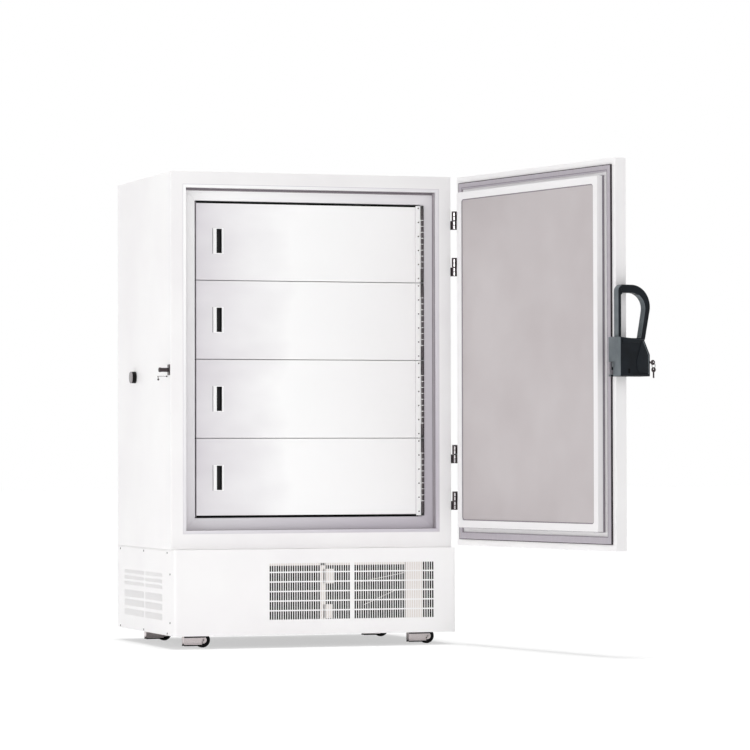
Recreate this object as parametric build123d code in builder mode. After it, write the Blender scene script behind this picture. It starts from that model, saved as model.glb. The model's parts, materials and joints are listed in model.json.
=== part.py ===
from build123d import *
from math import cos, radians, sin
import os

os.makedirs("parts", exist_ok=True)

# An upright laboratory freezer, in millimetres.
# X runs to the right, the front faces -Y, the floor is at Z = 0,
# and the origin is on the floor at the middle of the cabinet's footprint.
# The outer door and what it carries are modelled shut and then swung open.

# Cabinet
cabinet_width = 1217.0
cabinet_depth = 878.0
cabinet_height = 1556.0
base_height = 352.0
ground_clearance = 53.0
base_forward = 50.0
sheet = 1.2
liner_sheet = 1.0
edge_round = 2.2
joint_gap = 0.3

# Front opening: painted flange, stepped plastic frame, mouth for the inner doors
flange_side = 53.5
flange_top = 55.5
flange_bottom = 66.5
lip_width = 12.0
recess_depth = 49.0
band_width = 50.0
trim_wall = 3.0
liner_step = 23.0
back_insulation = 128.0

# Inner doors
compartments = 4
mouth_gap = 3.0
door_seam = 2.5
free_gap = 5.5
hinge_gap = 2.5
inner_door_proud = 2.0
inner_door_thickness = 40.0
seal_thickness = 6.7
seal_width = 16.0
plateau_depth = 5.0
plateau_inset = 14.0
leaf_width = 22.0
leaf_thickness = 1.2
knuckle_radius = 5.5
inner_pin_radius = 3.0
running_fit = 0.05
fixed_knuckle = 58.0
pull_width = 45.0
pull_height = 107.0
pull_inset = 73.0
pull_slot_width = 22.6
pull_slot_height = 100.5
pull_slot_offset = 14.5
pull_depth = 26.0
pull_wall = 1.0
pull_rim = 1.5
shelf_sheet = 1.5
shelf_lip = 20.0
bracket_width = 15.0
bracket_height = 12.0
bracket_wall = 2.0

# Outer door
door_gap = 8.0
door_thickness = 48.0
door_bottom_gap = 9.0
door_top_drop = 5.5
gasket_inset = 28.0
gasket_width = 25.0
gasket_squeeze = 0.4
gasket_neck = 3.0
plug_clear = 6.0
plug_height = 40.0
plug_wall = 2.5
plug_face = 30.0
panel_corner = 14.0
panel_recess = 4.0
panel_groove = 1.6
panel_seat = 18.0
door_open_angle = 101.1

# Outer hinges
hinge_offset = 15.0
hinge_forward = 4.0
barrel_radius = 11.0
barrel_height = 74.0
hinge_pin_radius = 4.0
hinge_end_gap = 193.0
hinge_pair_gap = 195.5
hinge_top_gap = 186.5
hinge_leaf_length = 42.0
hinge_leaf_bite = 1.0

# Handle, latch and lock: the strike's height rules the heights, each given from it
latch_height = 1143.5
housing_rear = 30.0
housing_front = 111.0
housing_below = 46.5
housing_above = 107.5
shoulder_above = 38.5
shoulder_drop = 10.0
shoulder_run = 27.0
housing_reach = 88.0
housing_clear = 3.0
housing_round = 8.0
lever_near = 27.0
lever_width = 35.0
lever_clear = 1.5
lever_pivot_depth = 38.0
lever_pivot_above = 36.5
lever_floor_above = 10.5
lever_pin_radius = 6.0
lever_rise = 311.5
strap_left = 21.5
strap_right = -126.5
strap_crown = -43.0
strap_side = 15.5
strap_bow = 24.0
strap_top = 32.0
strap_corner = 25.0
strap_inner_corner = 6.0
bow_drop = 103.0
foot_right = -105.0
foot_side = 21.5
foot_above = 99.5
foot_overlap = 4.0
hub_radius = 22.0
strike_depth = 26.0
strike_plate_width = 31.0
strike_plate_height = 44.0
strike_plate_thickness = 3.0
neck_radius = 8.5
head_radius = 9.5
neck_length = 32.0
head_length = 9.0
claw_width = 12.0
claw_near = 22.0
claw_clear = 1.5
claw_pin_radius = 4.0
claw_pivot_depth = 0.0
claw_hub = 11.0
claw_arm = 18.0
claw_tip = 9.0
claw_pivot_below = 30.5
lock_radius = 7.0
lock_inset = 73.0
lock_length = 22.0
lock_above = 8.5
lock_proud = 4.0
key_thickness = 2.2
key_bow_radius = 10.0
key_hole_radius = 3.0
key_shank = 6.0
ring_radius = 11.0
ring_wire = 1.2
spare_key_length = 36.0

# Probe port on the left side
port_rear_gap = 302.0
port_above = 718.0
port_radius = 24.5
port_bore = 15.0
port_reach = 22.0
port_disc = 4.0

# Front grille of the base
slot_width = 5.0
slot_height = 34.0
slot_pitch = 10.0
slot_row_pitch = 39.5
slot_rows = 6
slot_columns = 35
slot_block_starts = (-201.5, 165.5)
slots_bottom = 115.5
panel_round = 12.0

# Side covers and their grilles
cover_gap = 5.0
cover_fold = 15.0
side_slots_near = 138.0
side_slots_far = 111.0
side_slots_bridge = 20.0
side_slots_middle = 424.0
side_rows = ((59.0, 27.0), (99.0, 28.0), (137.0, 30.0), (188.0, 15.0), (212.0, 15.0), (237.0, 16.0))

# Base frame and castors
frame_wall = 2.5
channel_width = 200.0
channel_height = 34.0
post_width = 35.0
castor_inset = 120.0
castor_depths = (80.0, 690.0)
castor_plate_length = 96.0
castor_plate_width = 80.0
castor_plate_thickness = 3.0
race_radius = 28.0
race_height = 5.0
fork_wall = 2.5
fork_boss = 14.0
fork_rear = 48.0
fork_arm_height = 51.0
fork_neck = 20.0
wheel_chamfer = 2.5
wheel_radius = 31.5
wheel_width = 24.0
wheel_clear = 2.0
axle_radius = 4.0
castor_trail = 35.0

# Refrigeration plant in the base
compressor_radius = 95.0
compressor_height = 190.0
compressor_dome = 45.0
compressor_gap = 105.0
compressor_left_gap = 358.5
compressor_spacing = 400.0
compressor_plate = 4.0
foot_radius = 12.0
foot_height = 14.0
foot_spread = 85.0
foot_sides = 8
condenser_right_gap = 208.5
condenser_width = 560.0
condenser_height = 250.0
condenser_thickness = 50.0
condenser_depth = 40.0
end_plate = 3.0
shroud_depth = 26.0
shroud_wall = 1.5
fan_radius = 105.0
fan_hub_radius = 28.0
fan_blades = 5
fan_depth = 20.0
blade_thickness = 2.0
blade_width = 34.0
blade_pitch = 32.0
fan_clear = 6.0
motor_radius = 34.0
motor_length = 55.0
motor_arm = 12.0
shaft_radius = 4.0
pipe_radius = 6.0
pipe_bend = 25.0
pipe_rise = 30.0
pipe_sides = 8
control_box_gap = 34.0
control_box_width = 160.0
control_box_depth = 200.0
control_box_height = 210.0
inlet_side_gap = 178.5
inlet_above = 197.0
inlet_width = 48.0
inlet_tall = 30.0
inlet_body = 24.0
inlet_flange = 3.0
inlet_slot_width = 24.0
inlet_slot_tall = 16.0
rear_slot_width = 320.0
rear_slot_tall = 8.0
rear_slot_pitch = 26.0
rear_slot_rows = 8
rear_slot_left_gap = 138.5
rear_slot_bridge = 140.0

# Control display on the door's outer face
display_below_top = 395.5
display_width = 240.0
display_tall = 130.0
display_round = 6.0
display_thickness = 8.0
screw_radius = 4.5
screw_height = 1.8
screw_inset = 8.0
screw_front_inset = 59.0
screw_rear_inset = 45.0
screw_edge_inset = 14.0
screw_side_rises = (53.0, 252.0)

# Values worked out from the sizes above
half = cabinet_width / 2
front = -cabinet_depth / 2
ledge = ground_clearance + base_height
top = ledge + cabinet_height
housing_low = latch_height - housing_below
housing_high = latch_height + housing_above
housing_shoulder = latch_height + shoulder_above
lever_pivot_height = latch_height + lever_pivot_above
lever_floor = latch_height + lever_floor_above
lever_top = latch_height + lever_rise
claw_pivot_height = latch_height - claw_pivot_below
lock_height = latch_height + lock_above
port_depth = cabinet_depth - port_rear_gap
port_height = ledge + port_above
cover_top = ledge - cover_gap

def inset(outline, amount):
    """The same outline, smaller by an amount on each side."""
    return (outline[0] - amount, outline[1] + amount, outline[2] - amount)


# Outlines seen from the front: half the width, bottom, top
body = (half, ledge, top)
trim = (half - flange_side, ledge + flange_bottom, top - flange_top)
recess = inset(trim, lip_width)
mouth = inset(recess, band_width)
liner = inset(mouth, liner_step)

# Depths behind the cabinet's front
inner_face = recess_depth - inner_door_proud
inner_back = inner_face + inner_door_thickness
flange_depth = inner_back + joint_gap + seal_thickness
liner_back = cabinet_depth - sheet - back_insulation

door = (half, ledge + door_bottom_gap, top - door_top_drop)
plug = inset(recess, plug_clear)
well = inset(plug, plug_face)
door_inner = -door_gap
door_outer = -door_gap - door_thickness
plug_depth = door_inner + plug_height
well_depth = plug_depth - panel_recess

stack_low = mouth[1] + mouth_gap
pitch = (mouth[2] - mouth[1] - 2 * mouth_gap) / compartments
inner_left = -mouth[0] + free_gap
inner_right = mouth[0] - hinge_gap
inner_axis_x = mouth[0] - leaf_thickness + knuckle_radius
inner_axis_depth = inner_face - knuckle_radius
hinge_x = half + hinge_offset
hinge_y = front - hinge_forward
lowest_hinge = ledge + hinge_end_gap
highest_hinge = top - hinge_top_gap
hinge_heights = (lowest_hinge, lowest_hinge + hinge_pair_gap, highest_hinge - hinge_pair_gap, highest_hinge)


def upright(depth):
    """The upright plane at a depth behind the cabinet's front, seen from the front."""
    return Plane.XZ.offset(-front - depth)


def sideways(x):
    """The upright plane at x: its own x is the depth behind the front, its y the height."""
    return Plane(origin=(x, front, 0), x_dir=(0, 1, 0), z_dir=(1, 0, 0))


def frame_rect(outline, mode=Mode.ADD, corner=0):
    """One outline as a rectangle in the sketch that is open."""
    half_width, low, high = outline
    with Locations((0, (low + high) / 2)):
        if corner:
            RectangleRounded(2 * half_width, high - low, corner, mode=mode)
        else:
            Rectangle(2 * half_width, high - low, mode=mode)


def slab(outline, near, far, corner=0, mode=Mode.ADD):
    """A flat slab with an outline, from one depth to another."""
    with BuildSketch(upright(far)) as profile:
        frame_rect(outline, corner=corner)
    extrude(profile.sketch, amount=far - near, mode=mode)


def ring(outer, inner, near, far, corner=0):
    """A square ring between two outlines, from one depth to another."""
    with BuildSketch(upright(far)) as profile:
        frame_rect(outer)
        frame_rect(inner, mode=Mode.SUBTRACT, corner=corner)
    extrude(profile.sketch, amount=far - near)


def block(x0, x1, depth0, depth1, z0, z1, margin=0, mode=Mode.ADD):
    """A straight block between limits, drawn in by a margin on every face."""
    with Locations(((x0 + x1) / 2, front + (depth0 + depth1) / 2, (z0 + z1) / 2)):
        Box(x1 - x0 - 2 * margin, depth1 - depth0 - 2 * margin, z1 - z0 - 2 * margin, mode=mode)


def bore_port():
    """The probe port's hole through the left wall."""
    with BuildSketch(sideways(-half)) as profile:
        with Locations((port_depth, port_height)):
            Circle(port_bore + running_fit)
    extrude(profile.sketch, amount=half, mode=Mode.SUBTRACT)


def save(part, name):
    part.label = name
    export_step(part, f"parts/{name}.step")


def save_on_door(part, name):
    """Saves a piece that was modelled with the outer door shut, swung to the open pose."""
    axis = Axis((hinge_x, hinge_y, 0), (0, 0, 1))
    save(part.rotate(axis, door_open_angle), name)


# Cabinet shell: one folded wrap with the flange that the door's gasket meets

with BuildPart() as cabinet_shell:
    ring(body, inset(body, sheet), 0, cabinet_depth)
    ring(body, trim, 0, sheet)
    long_edges = cabinet_shell.edges().filter_by(Axis.Y).group_by(SortBy.LENGTH)[-1]
    front_edges = cabinet_shell.faces().sort_by(Axis.Y)[0].outer_wire().edges()
    fillet(long_edges + front_edges, radius=edge_round)
    bore_port()
save(cabinet_shell.part, "cabinet_shell")

with BuildPart() as back_panel:
    slab(inset(body, sheet), cabinet_depth - sheet, cabinet_depth)
save(back_panel.part, "back_panel")

# Insulation: flat panels set edge to edge round the opening and behind the liner

panel_margin = joint_gap / 2
outer = inset(body, sheet)
layers = (
    (inset(recess, -trim_wall), sheet, recess_depth + trim_wall),
    (inset(mouth, -trim_wall), recess_depth + trim_wall, flange_depth + liner_sheet),
    (inset(liner, -liner_sheet), flange_depth + liner_sheet, liner_back),
)
with BuildPart() as insulation_panels:
    for hole, near, far in layers:
        for sign in (-1, 1):
            x0, x1 = sorted((sign * outer[0], sign * hole[0]))
            block(x0, x1, near, far, outer[1], outer[2], panel_margin)
        block(-hole[0], hole[0], near, far, hole[2], outer[2], panel_margin)
        block(-hole[0], hole[0], near, far, outer[1], hole[1], panel_margin)
    block(-outer[0], outer[0], liner_back, cabinet_depth - sheet, outer[1], outer[2], panel_margin)
    bore_port()
save(insulation_panels.part, "insulation_panels")

# Stainless liner: an open box with a front flange for the inner doors' seals

with BuildPart() as inner_liner:
    ring(inset(liner, -liner_sheet), liner, flange_depth, liner_back)
    slab(inset(liner, -liner_sheet), liner_back - liner_sheet, liner_back)
    ring(inset(mouth, -trim_wall), liner, flange_depth, flange_depth + liner_sheet)
    bore_port()
save(inner_liner.part, "inner_liner")

# Stepped plastic frame round the opening, in four bars mitred at the corners

mitre_length = 1.5 * (lip_width + band_width + trim_wall) * 2**0.5
with BuildPart() as breaker_frame:
    ring(trim, recess, 0, sheet)
    ring(inset(recess, -trim_wall), recess, 0, recess_depth + trim_wall)
    ring(inset(recess, -trim_wall), mouth, recess_depth, recess_depth + trim_wall)
    ring(inset(mouth, -trim_wall), mouth, recess_depth, flange_depth)
    with BuildSketch(upright(flange_depth)):
        for side in (-1, 1):
            for height, lift in ((trim[1] + mouth[1], 1), (trim[2] + mouth[2], -1)):
                with Locations((side * (trim[0] + mouth[0]) / 2, height / 2)):
                    Rectangle(mitre_length, joint_gap, rotation=-45 * side * lift)
    extrude(amount=flange_depth, mode=Mode.SUBTRACT)
save(breaker_frame.part, "breaker_frame")

# Shelves at the seams between the inner doors, on angle brackets along the liner's walls

seams = [stack_low + pitch * number for number in range(1, compartments)]
shelf_front = flange_depth + liner_sheet + joint_gap
shelf_rear = liner_back - liner_sheet - joint_gap
shelf_half = liner[0] - joint_gap

with BuildPart() as shelves:
    for height in seams:
        block(-shelf_half, shelf_half, shelf_front, shelf_rear, height - shelf_sheet, height)
        block(-shelf_half + bracket_width + joint_gap, shelf_half - bracket_width - joint_gap,
              shelf_front, shelf_front + shelf_sheet, height - shelf_lip, height)
save(shelves.part, "shelves")

with BuildPart() as shelf_brackets:
    for height in seams:
        seat = height - shelf_sheet
        for sign in (-1, 1):
            with BuildSketch(upright(shelf_rear)):
                with BuildLine():
                    wall = sign * liner[0]
                    inner = sign * (liner[0] - bracket_width)
                    web = sign * (liner[0] - bracket_wall)
                    Polyline((wall, seat), (inner, seat), (inner, seat - bracket_wall),
                             (web, seat - bracket_wall), (web, seat - bracket_height),
                             (wall, seat - bracket_height), close=True)
                make_face()
            extrude(amount=shelf_rear - shelf_front)
save(shelf_brackets.part, "shelf_brackets")

# Seals that the inner doors close on: a ring on the liner's flange

with BuildPart() as inner_door_seals:
    seal_outer = (mouth[0] - joint_gap, mouth[1] + joint_gap, mouth[2] - joint_gap)
    ring(seal_outer, inset(seal_outer, seal_width), flange_depth - seal_thickness, flange_depth)
save(inner_door_seals.part, "inner_door_seals")

# Inner doors, numbered from the top, each with a flush pull and a hinge along its right edge

pin_reach = 1.0
leaf_back = inner_back - pin_reach


def stack_door(number):
    """The bottom and top of one inner door, numbered from the top."""
    high = stack_low + pitch * (compartments - number + 1)
    return high - pitch + door_seam / 2, high - door_seam / 2


def knuckle_plane(height):
    return Plane(origin=(inner_axis_x, front + inner_axis_depth, height), z_dir=(0, 0, 1))


def tube(plane, radius, bore, length):
    """A knuckle: a short tube standing on a plane."""
    with BuildSketch(plane) as profile:
        Circle(radius)
        Circle(bore, mode=Mode.SUBTRACT)
    extrude(profile.sketch, amount=length)


def rod(plane, radius, length):
    """A solid rod standing on a plane."""
    with BuildSketch(plane) as profile:
        Circle(radius)
    extrude(profile.sketch, amount=length)


for number in range(1, compartments + 1):
    low, high = stack_door(number)
    middle = (low + high) / 2
    moving_low = low + fixed_knuckle + joint_gap
    moving_high = high - fixed_knuckle - joint_gap
    pull_left = inner_left + pull_inset
    pull_x = pull_left + pull_width / 2

    with BuildPart() as inner_door:
        block(inner_left, inner_right, inner_face, inner_back, low, high)
        block(-liner[0] + plateau_inset, liner[0] - plateau_inset, inner_back, inner_back + plateau_depth,
              low + plateau_inset, high - plateau_inset)
        outline = inner_door.faces().sort_by(Axis.Y)[0].outer_wire().edges()
        chamfer(outline, length=leaf_thickness)
        block(inner_right - leaf_width, inner_right, inner_face - leaf_thickness, inner_face, low, high)
        block(inner_right - leaf_width, inner_axis_x, inner_face - leaf_thickness, inner_face,
              moving_low, moving_high)
        tube(knuckle_plane(moving_low), knuckle_radius, inner_pin_radius + running_fit,
             moving_high - moving_low)
        with BuildSketch(upright(inner_face)):
            with Locations((pull_x, middle)):
                Rectangle(pull_width - 2 * pull_rim, pull_height - 2 * pull_rim)
        extrude(amount=-pull_depth, mode=Mode.SUBTRACT)
    save(inner_door.part, f"inner_door_{number}")

    with BuildPart() as inner_pull:
        with BuildSketch(upright(inner_face)):
            with Locations((pull_x, middle)):
                RectangleRounded(pull_width, pull_height, pull_rim)
        extrude(amount=pull_rim)
        with BuildSketch(upright(inner_face)):
            with Locations((pull_x, middle)):
                Rectangle(pull_width - 2 * pull_rim, pull_height - 2 * pull_rim)
        extrude(amount=-pull_depth)
        with BuildSketch(upright(inner_face)):
            with Locations((pull_x, middle)):
                Rectangle(pull_width - 2 * pull_rim - 2 * pull_wall, pull_slot_height)
        extrude(amount=-(pull_depth - pull_wall), mode=Mode.SUBTRACT)
        with BuildSketch(upright(inner_face)):
            with Locations((pull_left + pull_slot_offset + pull_slot_width / 2, middle)):
                Rectangle(pull_slot_width, pull_slot_height)
        extrude(amount=pull_rim, mode=Mode.SUBTRACT)
    save(inner_pull.part, f"inner_door_pull_{number}")

with BuildPart() as inner_hinge_leaves:
    for number in range(1, compartments + 1):
        low, high = stack_door(number)
        clear = inner_face + joint_gap
        block(mouth[0] - leaf_thickness, mouth[0], clear, leaf_back, low, high)
        for foot in (low, high - fixed_knuckle):
            block(mouth[0] - leaf_thickness, mouth[0], inner_axis_depth, clear, foot, foot + fixed_knuckle)
            rod(knuckle_plane(foot), knuckle_radius, fixed_knuckle)
        rod(knuckle_plane(low), inner_pin_radius, high - low)
save(inner_hinge_leaves.part, "inner_hinge_leaves")

# Outer door, shut: steel pan, foam core, raised plastic liner, stainless panel and gasket

with BuildPart() as door_shell:
    slab(door, door_outer, door_outer + sheet)
    ring(door, inset(door, sheet), door_outer, door_inner)
    ring(door, inset(door, gasket_inset), door_inner - sheet, door_inner)
    outer_edges = door_shell.faces().sort_by(Axis.Y)[0].outer_wire().edges()
    corner_edges = door_shell.edges().filter_by(Axis.Y).group_by(SortBy.LENGTH)[-1]
    fillet(outer_edges + corner_edges, radius=edge_round)
save_on_door(door_shell.part, "door_shell")

with BuildPart() as door_core:
    slab(inset(door, sheet), door_outer + sheet, door_inner - sheet)
    slab(inset(plug, plug_wall), door_inner - sheet, well_depth - sheet - plug_wall)
    slab(inset(well, panel_seat), well_depth - sheet - plug_wall, well_depth - sheet)
save_on_door(door_core.part, "door_core")

with BuildPart() as door_liner:
    ring(inset(door, gasket_inset), inset(plug, plug_wall), door_inner - sheet, door_inner)
    ring(plug, inset(plug, plug_wall), door_inner - sheet, plug_depth)
    ring(plug, well, plug_depth - plug_wall, plug_depth, corner=panel_corner)
    ring(inset(well, -plug_wall), well, well_depth - sheet - plug_wall, plug_depth, corner=panel_corner)
    ring(inset(well, -plug_wall), inset(well, panel_seat),
         well_depth - sheet - plug_wall, well_depth - sheet)
save_on_door(door_liner.part, "door_liner")

with BuildPart() as door_panel:
    slab(inset(well, panel_groove), well_depth - sheet, well_depth, corner=panel_corner - panel_groove)
save_on_door(door_panel.part, "door_panel")

gasket_high = -gasket_squeeze
gasket_outline = inset(door, gasket_inset)
with BuildPart() as door_gasket:
    ring(inset(gasket_outline, gasket_neck), inset(gasket_outline, gasket_width - gasket_neck),
         door_inner, gasket_high)
    ring(gasket_outline, inset(gasket_outline, gasket_width), door_inner + gasket_neck, gasket_high)
save_on_door(door_gasket.part, "door_gasket")

# Outer hinges: the lower half of each barrel on the cabinet, the upper half on the door

leaf_inner_x = half
leaf_outer_x = half + hinge_offset - barrel_radius + hinge_leaf_bite
half_barrel = (barrel_height - joint_gap) / 2
cap_height = 3.0


def hinge_plane(height):
    return Plane(origin=(hinge_x, hinge_y, height), z_dir=(0, 0, 1))


with BuildPart() as hinge_cabinet_halves:
    for height in hinge_heights:
        foot = height - barrel_height / 2
        block(leaf_inner_x, leaf_outer_x, joint_gap, hinge_leaf_length, foot, foot + half_barrel)
        block(leaf_outer_x - hinge_leaf_bite, leaf_outer_x, -hinge_forward, joint_gap,
              foot, foot + half_barrel)
        rod(hinge_plane(foot), barrel_radius, half_barrel)
        rod(hinge_plane(foot), hinge_pin_radius, barrel_height + joint_gap)
        rod(hinge_plane(foot + barrel_height + joint_gap), barrel_radius, cap_height)
save(hinge_cabinet_halves.part, "hinge_cabinet_halves")

with BuildPart() as hinge_door_leaves:
    for height in hinge_heights:
        foot = height + barrel_height / 2 - half_barrel
        block(leaf_inner_x, leaf_outer_x, door_inner - hinge_leaf_length + joint_gap, door_inner - joint_gap,
              foot, foot + half_barrel)
        block(leaf_outer_x - hinge_leaf_bite, leaf_outer_x, door_inner - joint_gap, -hinge_forward,
              foot, foot + half_barrel)
        tube(hinge_plane(foot), barrel_radius, hinge_pin_radius + running_fit, half_barrel)
save_on_door(hinge_door_leaves.part, "hinge_door_halves")

# Strike on the cabinet's left side: plate and headed stud

with BuildPart() as strike_plate:
    with BuildSketch(sideways(-half)):
        with Locations((strike_depth, latch_height)):
            RectangleRounded(strike_plate_width, strike_plate_height, strike_plate_thickness)
    extrude(amount=-strike_plate_thickness)

with BuildPart() as strike_stud:
    with BuildSketch(sideways(-half - strike_plate_thickness)):
        with Locations((strike_depth, latch_height)):
            Circle(neck_radius)
    extrude(amount=-neck_length)
    with BuildSketch(sideways(-half - strike_plate_thickness - neck_length)):
        with Locations((strike_depth, latch_height)):
            Circle(head_radius)
    extrude(amount=-head_length)
    chamfer(strike_stud.faces().sort_by(Axis.X)[0].edges(), length=strike_plate_thickness / 2)
save(Compound(children=[strike_plate.part, strike_stud.part]), "strike")

# Handle housing on the door's free edge, with a slot for the lever and one for the claw

door_side = -half
housing_far = door_side - housing_reach
lever_x0 = door_side - lever_near - lever_width
lever_x1 = door_side - lever_near
claw_x0 = door_side - claw_near - claw_width
claw_x1 = door_side - claw_near
shoulder_depth = -housing_front + shoulder_run
slot_wall = 5.0
pin_hold = 8.0
stud_mouth = strike_plate_thickness + neck_length + head_length + claw_clear
lock_x = door_side - lock_inset


def lock_plane(depth):
    return Plane(origin=(lock_x, front + depth, lock_height), x_dir=(1, 0, 0), z_dir=(0, -1, 0))


with BuildPart() as handle_housing:
    with BuildSketch(sideways(housing_far)):
        with BuildLine():
            Polyline((housing_rear, housing_low), (housing_rear, housing_high),
                     (shoulder_depth, housing_high - shoulder_drop), (-housing_front, housing_shoulder),
                     (-housing_front, housing_low), close=True)
        make_face()
    extrude(amount=housing_reach)
    block(door_side - housing_clear, door_side, door_inner, housing_rear, housing_low, housing_high,
          mode=Mode.SUBTRACT)
    far_edges = handle_housing.faces().sort_by(Axis.X)[0].outer_wire().edges()
    fillet(far_edges, radius=housing_round)
    block(lever_x0 - lever_clear, lever_x1 + lever_clear, -housing_front, housing_rear - slot_wall,
          lever_floor, housing_high, mode=Mode.SUBTRACT)
    block(claw_x0 - claw_clear, claw_x1 + claw_clear, -claw_pivot_depth - claw_hub - claw_clear, housing_rear,
          housing_low, latch_height - neck_radius - claw_clear, mode=Mode.SUBTRACT)
    stud_gap = neck_radius + claw_clear
    block(door_side - stud_mouth, door_side, strike_depth - head_radius - claw_clear, housing_rear,
          latch_height - stud_gap, latch_height + stud_gap, mode=Mode.SUBTRACT)
    with BuildSketch(sideways(lever_x0 - pin_hold)):
        with Locations((-lever_pivot_depth, lever_pivot_height)):
            Circle(lever_pin_radius + running_fit)
    extrude(amount=lever_width + 2 * pin_hold, mode=Mode.SUBTRACT)
    with BuildSketch(sideways(claw_x0 - pin_hold)):
        with Locations((-claw_pivot_depth, claw_pivot_height)):
            Circle(claw_pin_radius + running_fit)
    extrude(amount=claw_width + 2 * pin_hold, mode=Mode.SUBTRACT)
    with BuildSketch(lock_plane(-housing_front)):
        Circle(lock_radius + running_fit)
    extrude(amount=-lock_length, mode=Mode.SUBTRACT)
save_on_door(handle_housing.part, "handle_housing")

# Loop handle: a D of flat strap on a hub that turns on a pin across the housing

lever_foot_height = latch_height + foot_above
bulge_height = lever_top - bow_drop
strap_left_inner = strap_left - strap_side
strap_right_inner = strap_right + strap_bow
foot_right_inner = foot_right + foot_side
loop_top = lever_top - strap_top
loop_low = housing_high - foot_overlap

with BuildPart() as handle_lever:
    with BuildSketch(sideways(lever_x0)):
        with BuildLine():
            left = Line((strap_left, lever_foot_height), (strap_left, lever_top - strap_corner))
            corner = RadiusArc(left @ 1, (strap_left - strap_corner, lever_top), strap_corner)
            crown = Line(corner @ 1, (strap_crown, lever_top))
            outer_arc = TangentArc(crown @ 1, (strap_right, bulge_height), tangent=(-1, 0))
            right = Line(outer_arc @ 1, (foot_right, lever_foot_height))
            hub_side = Line(right @ 1, (-lever_pivot_depth - hub_radius, lever_pivot_height))
            under = Line(hub_side @ 1, (-lever_pivot_depth + hub_radius, lever_pivot_height))
            Line(under @ 1, left @ 0)
        make_face()
        with Locations((-lever_pivot_depth, lever_pivot_height)):
            Circle(hub_radius)
        with BuildLine():
            inner_left_line = Line((strap_left_inner, loop_low),
                                   (strap_left_inner, loop_top - strap_inner_corner))
            top_left = RadiusArc(inner_left_line @ 1, (strap_left_inner - strap_inner_corner, loop_top),
                                 strap_inner_corner)
            inner_crown = Line(top_left @ 1, (strap_crown, loop_top))
            inner_arc = TangentArc(inner_crown @ 1, (strap_right_inner, bulge_height), tangent=(-1, 0))
            inner_right = Line(inner_arc @ 1, (foot_right_inner, loop_low))
            Line(inner_right @ 1, inner_left_line @ 0)
        make_face(mode=Mode.SUBTRACT)
        with Locations((-lever_pivot_depth, lever_pivot_height)):
            Circle(lever_pin_radius + running_fit, mode=Mode.SUBTRACT)
    extrude(amount=lever_width)
save_on_door(handle_lever.part, "handle_lever")

with BuildPart() as handle_pin:
    with BuildSketch(sideways(lever_x0 - pin_hold)):
        with Locations((-lever_pivot_depth, lever_pivot_height)):
            Circle(lever_pin_radius)
    extrude(amount=lever_width + 2 * pin_hold)

# Claw that holds the strike's neck, on its own pin low in the housing

claw_reach = strike_depth + neck_radius + claw_clear
claw_low = claw_pivot_height - claw_arm / 2

with BuildPart() as latch_claw:
    with BuildSketch(sideways(claw_x0)):
        with BuildLine():
            Polyline((-claw_pivot_depth, claw_low), (claw_reach + claw_tip, claw_low),
                     (claw_reach + claw_tip, latch_height + neck_radius),
                     (claw_reach, latch_height + neck_radius), (claw_reach, claw_low + claw_arm),
                     (-claw_pivot_depth, claw_low + claw_arm), close=True)
        make_face()
        with Locations((-claw_pivot_depth, claw_pivot_height)):
            Circle(claw_hub)
            Circle(claw_pin_radius + running_fit, mode=Mode.SUBTRACT)
    extrude(amount=claw_width)
save_on_door(latch_claw.part, "latch_claw")

with BuildPart() as claw_pin:
    with BuildSketch(sideways(claw_x0 - pin_hold)):
        with Locations((-claw_pivot_depth, claw_pivot_height)):
            Circle(claw_pin_radius)
    extrude(amount=claw_width + 2 * pin_hold)
save_on_door(Compound(children=[handle_pin.part, claw_pin.part]), "handle_pins")

# Lock in the housing's outer cheek, with its key, a ring and a spare key

lock_face = -housing_front - lock_proud
bow_depth = lock_face - key_shank - key_bow_radius
hole_depth = bow_depth - key_bow_radius / 3
ring_height = lock_height - key_hole_radius + ring_wire + joint_gap - ring_radius
spare_hole = ring_height - ring_radius + ring_wire + joint_gap - key_hole_radius

with BuildPart() as lock_cylinder:
    with BuildSketch(lock_plane(-housing_front + lock_length)):
        Circle(lock_radius)
    extrude(amount=lock_length + lock_proud)
save_on_door(lock_cylinder.part, "lock_cylinder")

with BuildPart() as key:
    with BuildSketch(sideways(lock_x - key_thickness / 2)):
        with Locations((bow_depth, lock_height)):
            Circle(key_bow_radius)
        with Locations(((bow_depth + lock_face) / 2, lock_height)):
            Rectangle(lock_face - bow_depth, key_shank)
        with Locations((hole_depth, lock_height)):
            Circle(key_hole_radius, mode=Mode.SUBTRACT)
    extrude(amount=key_thickness)
save_on_door(key.part, "key")

with BuildPart() as key_ring:
    ring_plane = Plane(origin=(lock_x, front + hole_depth, ring_height), x_dir=(1, 0, 0), z_dir=(0, -1, 0))
    with BuildSketch(Plane(origin=ring_plane.origin, x_dir=(1, 0, 0), z_dir=(0, 0, 1))):
        with Locations((ring_radius, 0)):
            RegularPolygon(ring_wire, 8)
    revolve(axis=Axis(ring_plane.origin, (0, -1, 0)), revolution_arc=360)

with BuildPart() as spare_key:
    with BuildSketch(sideways(lock_x - key_thickness / 2)):
        with Locations((hole_depth, spare_hole - key_bow_radius / 3)):
            Circle(key_bow_radius)
        with Locations((hole_depth, spare_hole - spare_key_length / 2)):
            Rectangle(key_shank, spare_key_length)
        with Locations((hole_depth, spare_hole)):
            Circle(key_hole_radius, mode=Mode.SUBTRACT)
    extrude(amount=key_thickness)
save_on_door(Compound(children=[key_ring.part, spare_key.part]), "key_ring")

# Small display panel low on the door's outer face

with BuildPart() as control_display:
    with BuildSketch(upright(door_outer)):
        with Locations((0, top - display_below_top)):
            RectangleRounded(display_width, display_tall, display_round)
    extrude(amount=display_thickness)
save_on_door(control_display.part, "control_display")

# Probe port: a stem through the wall, a rubber body and an end disc

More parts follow.
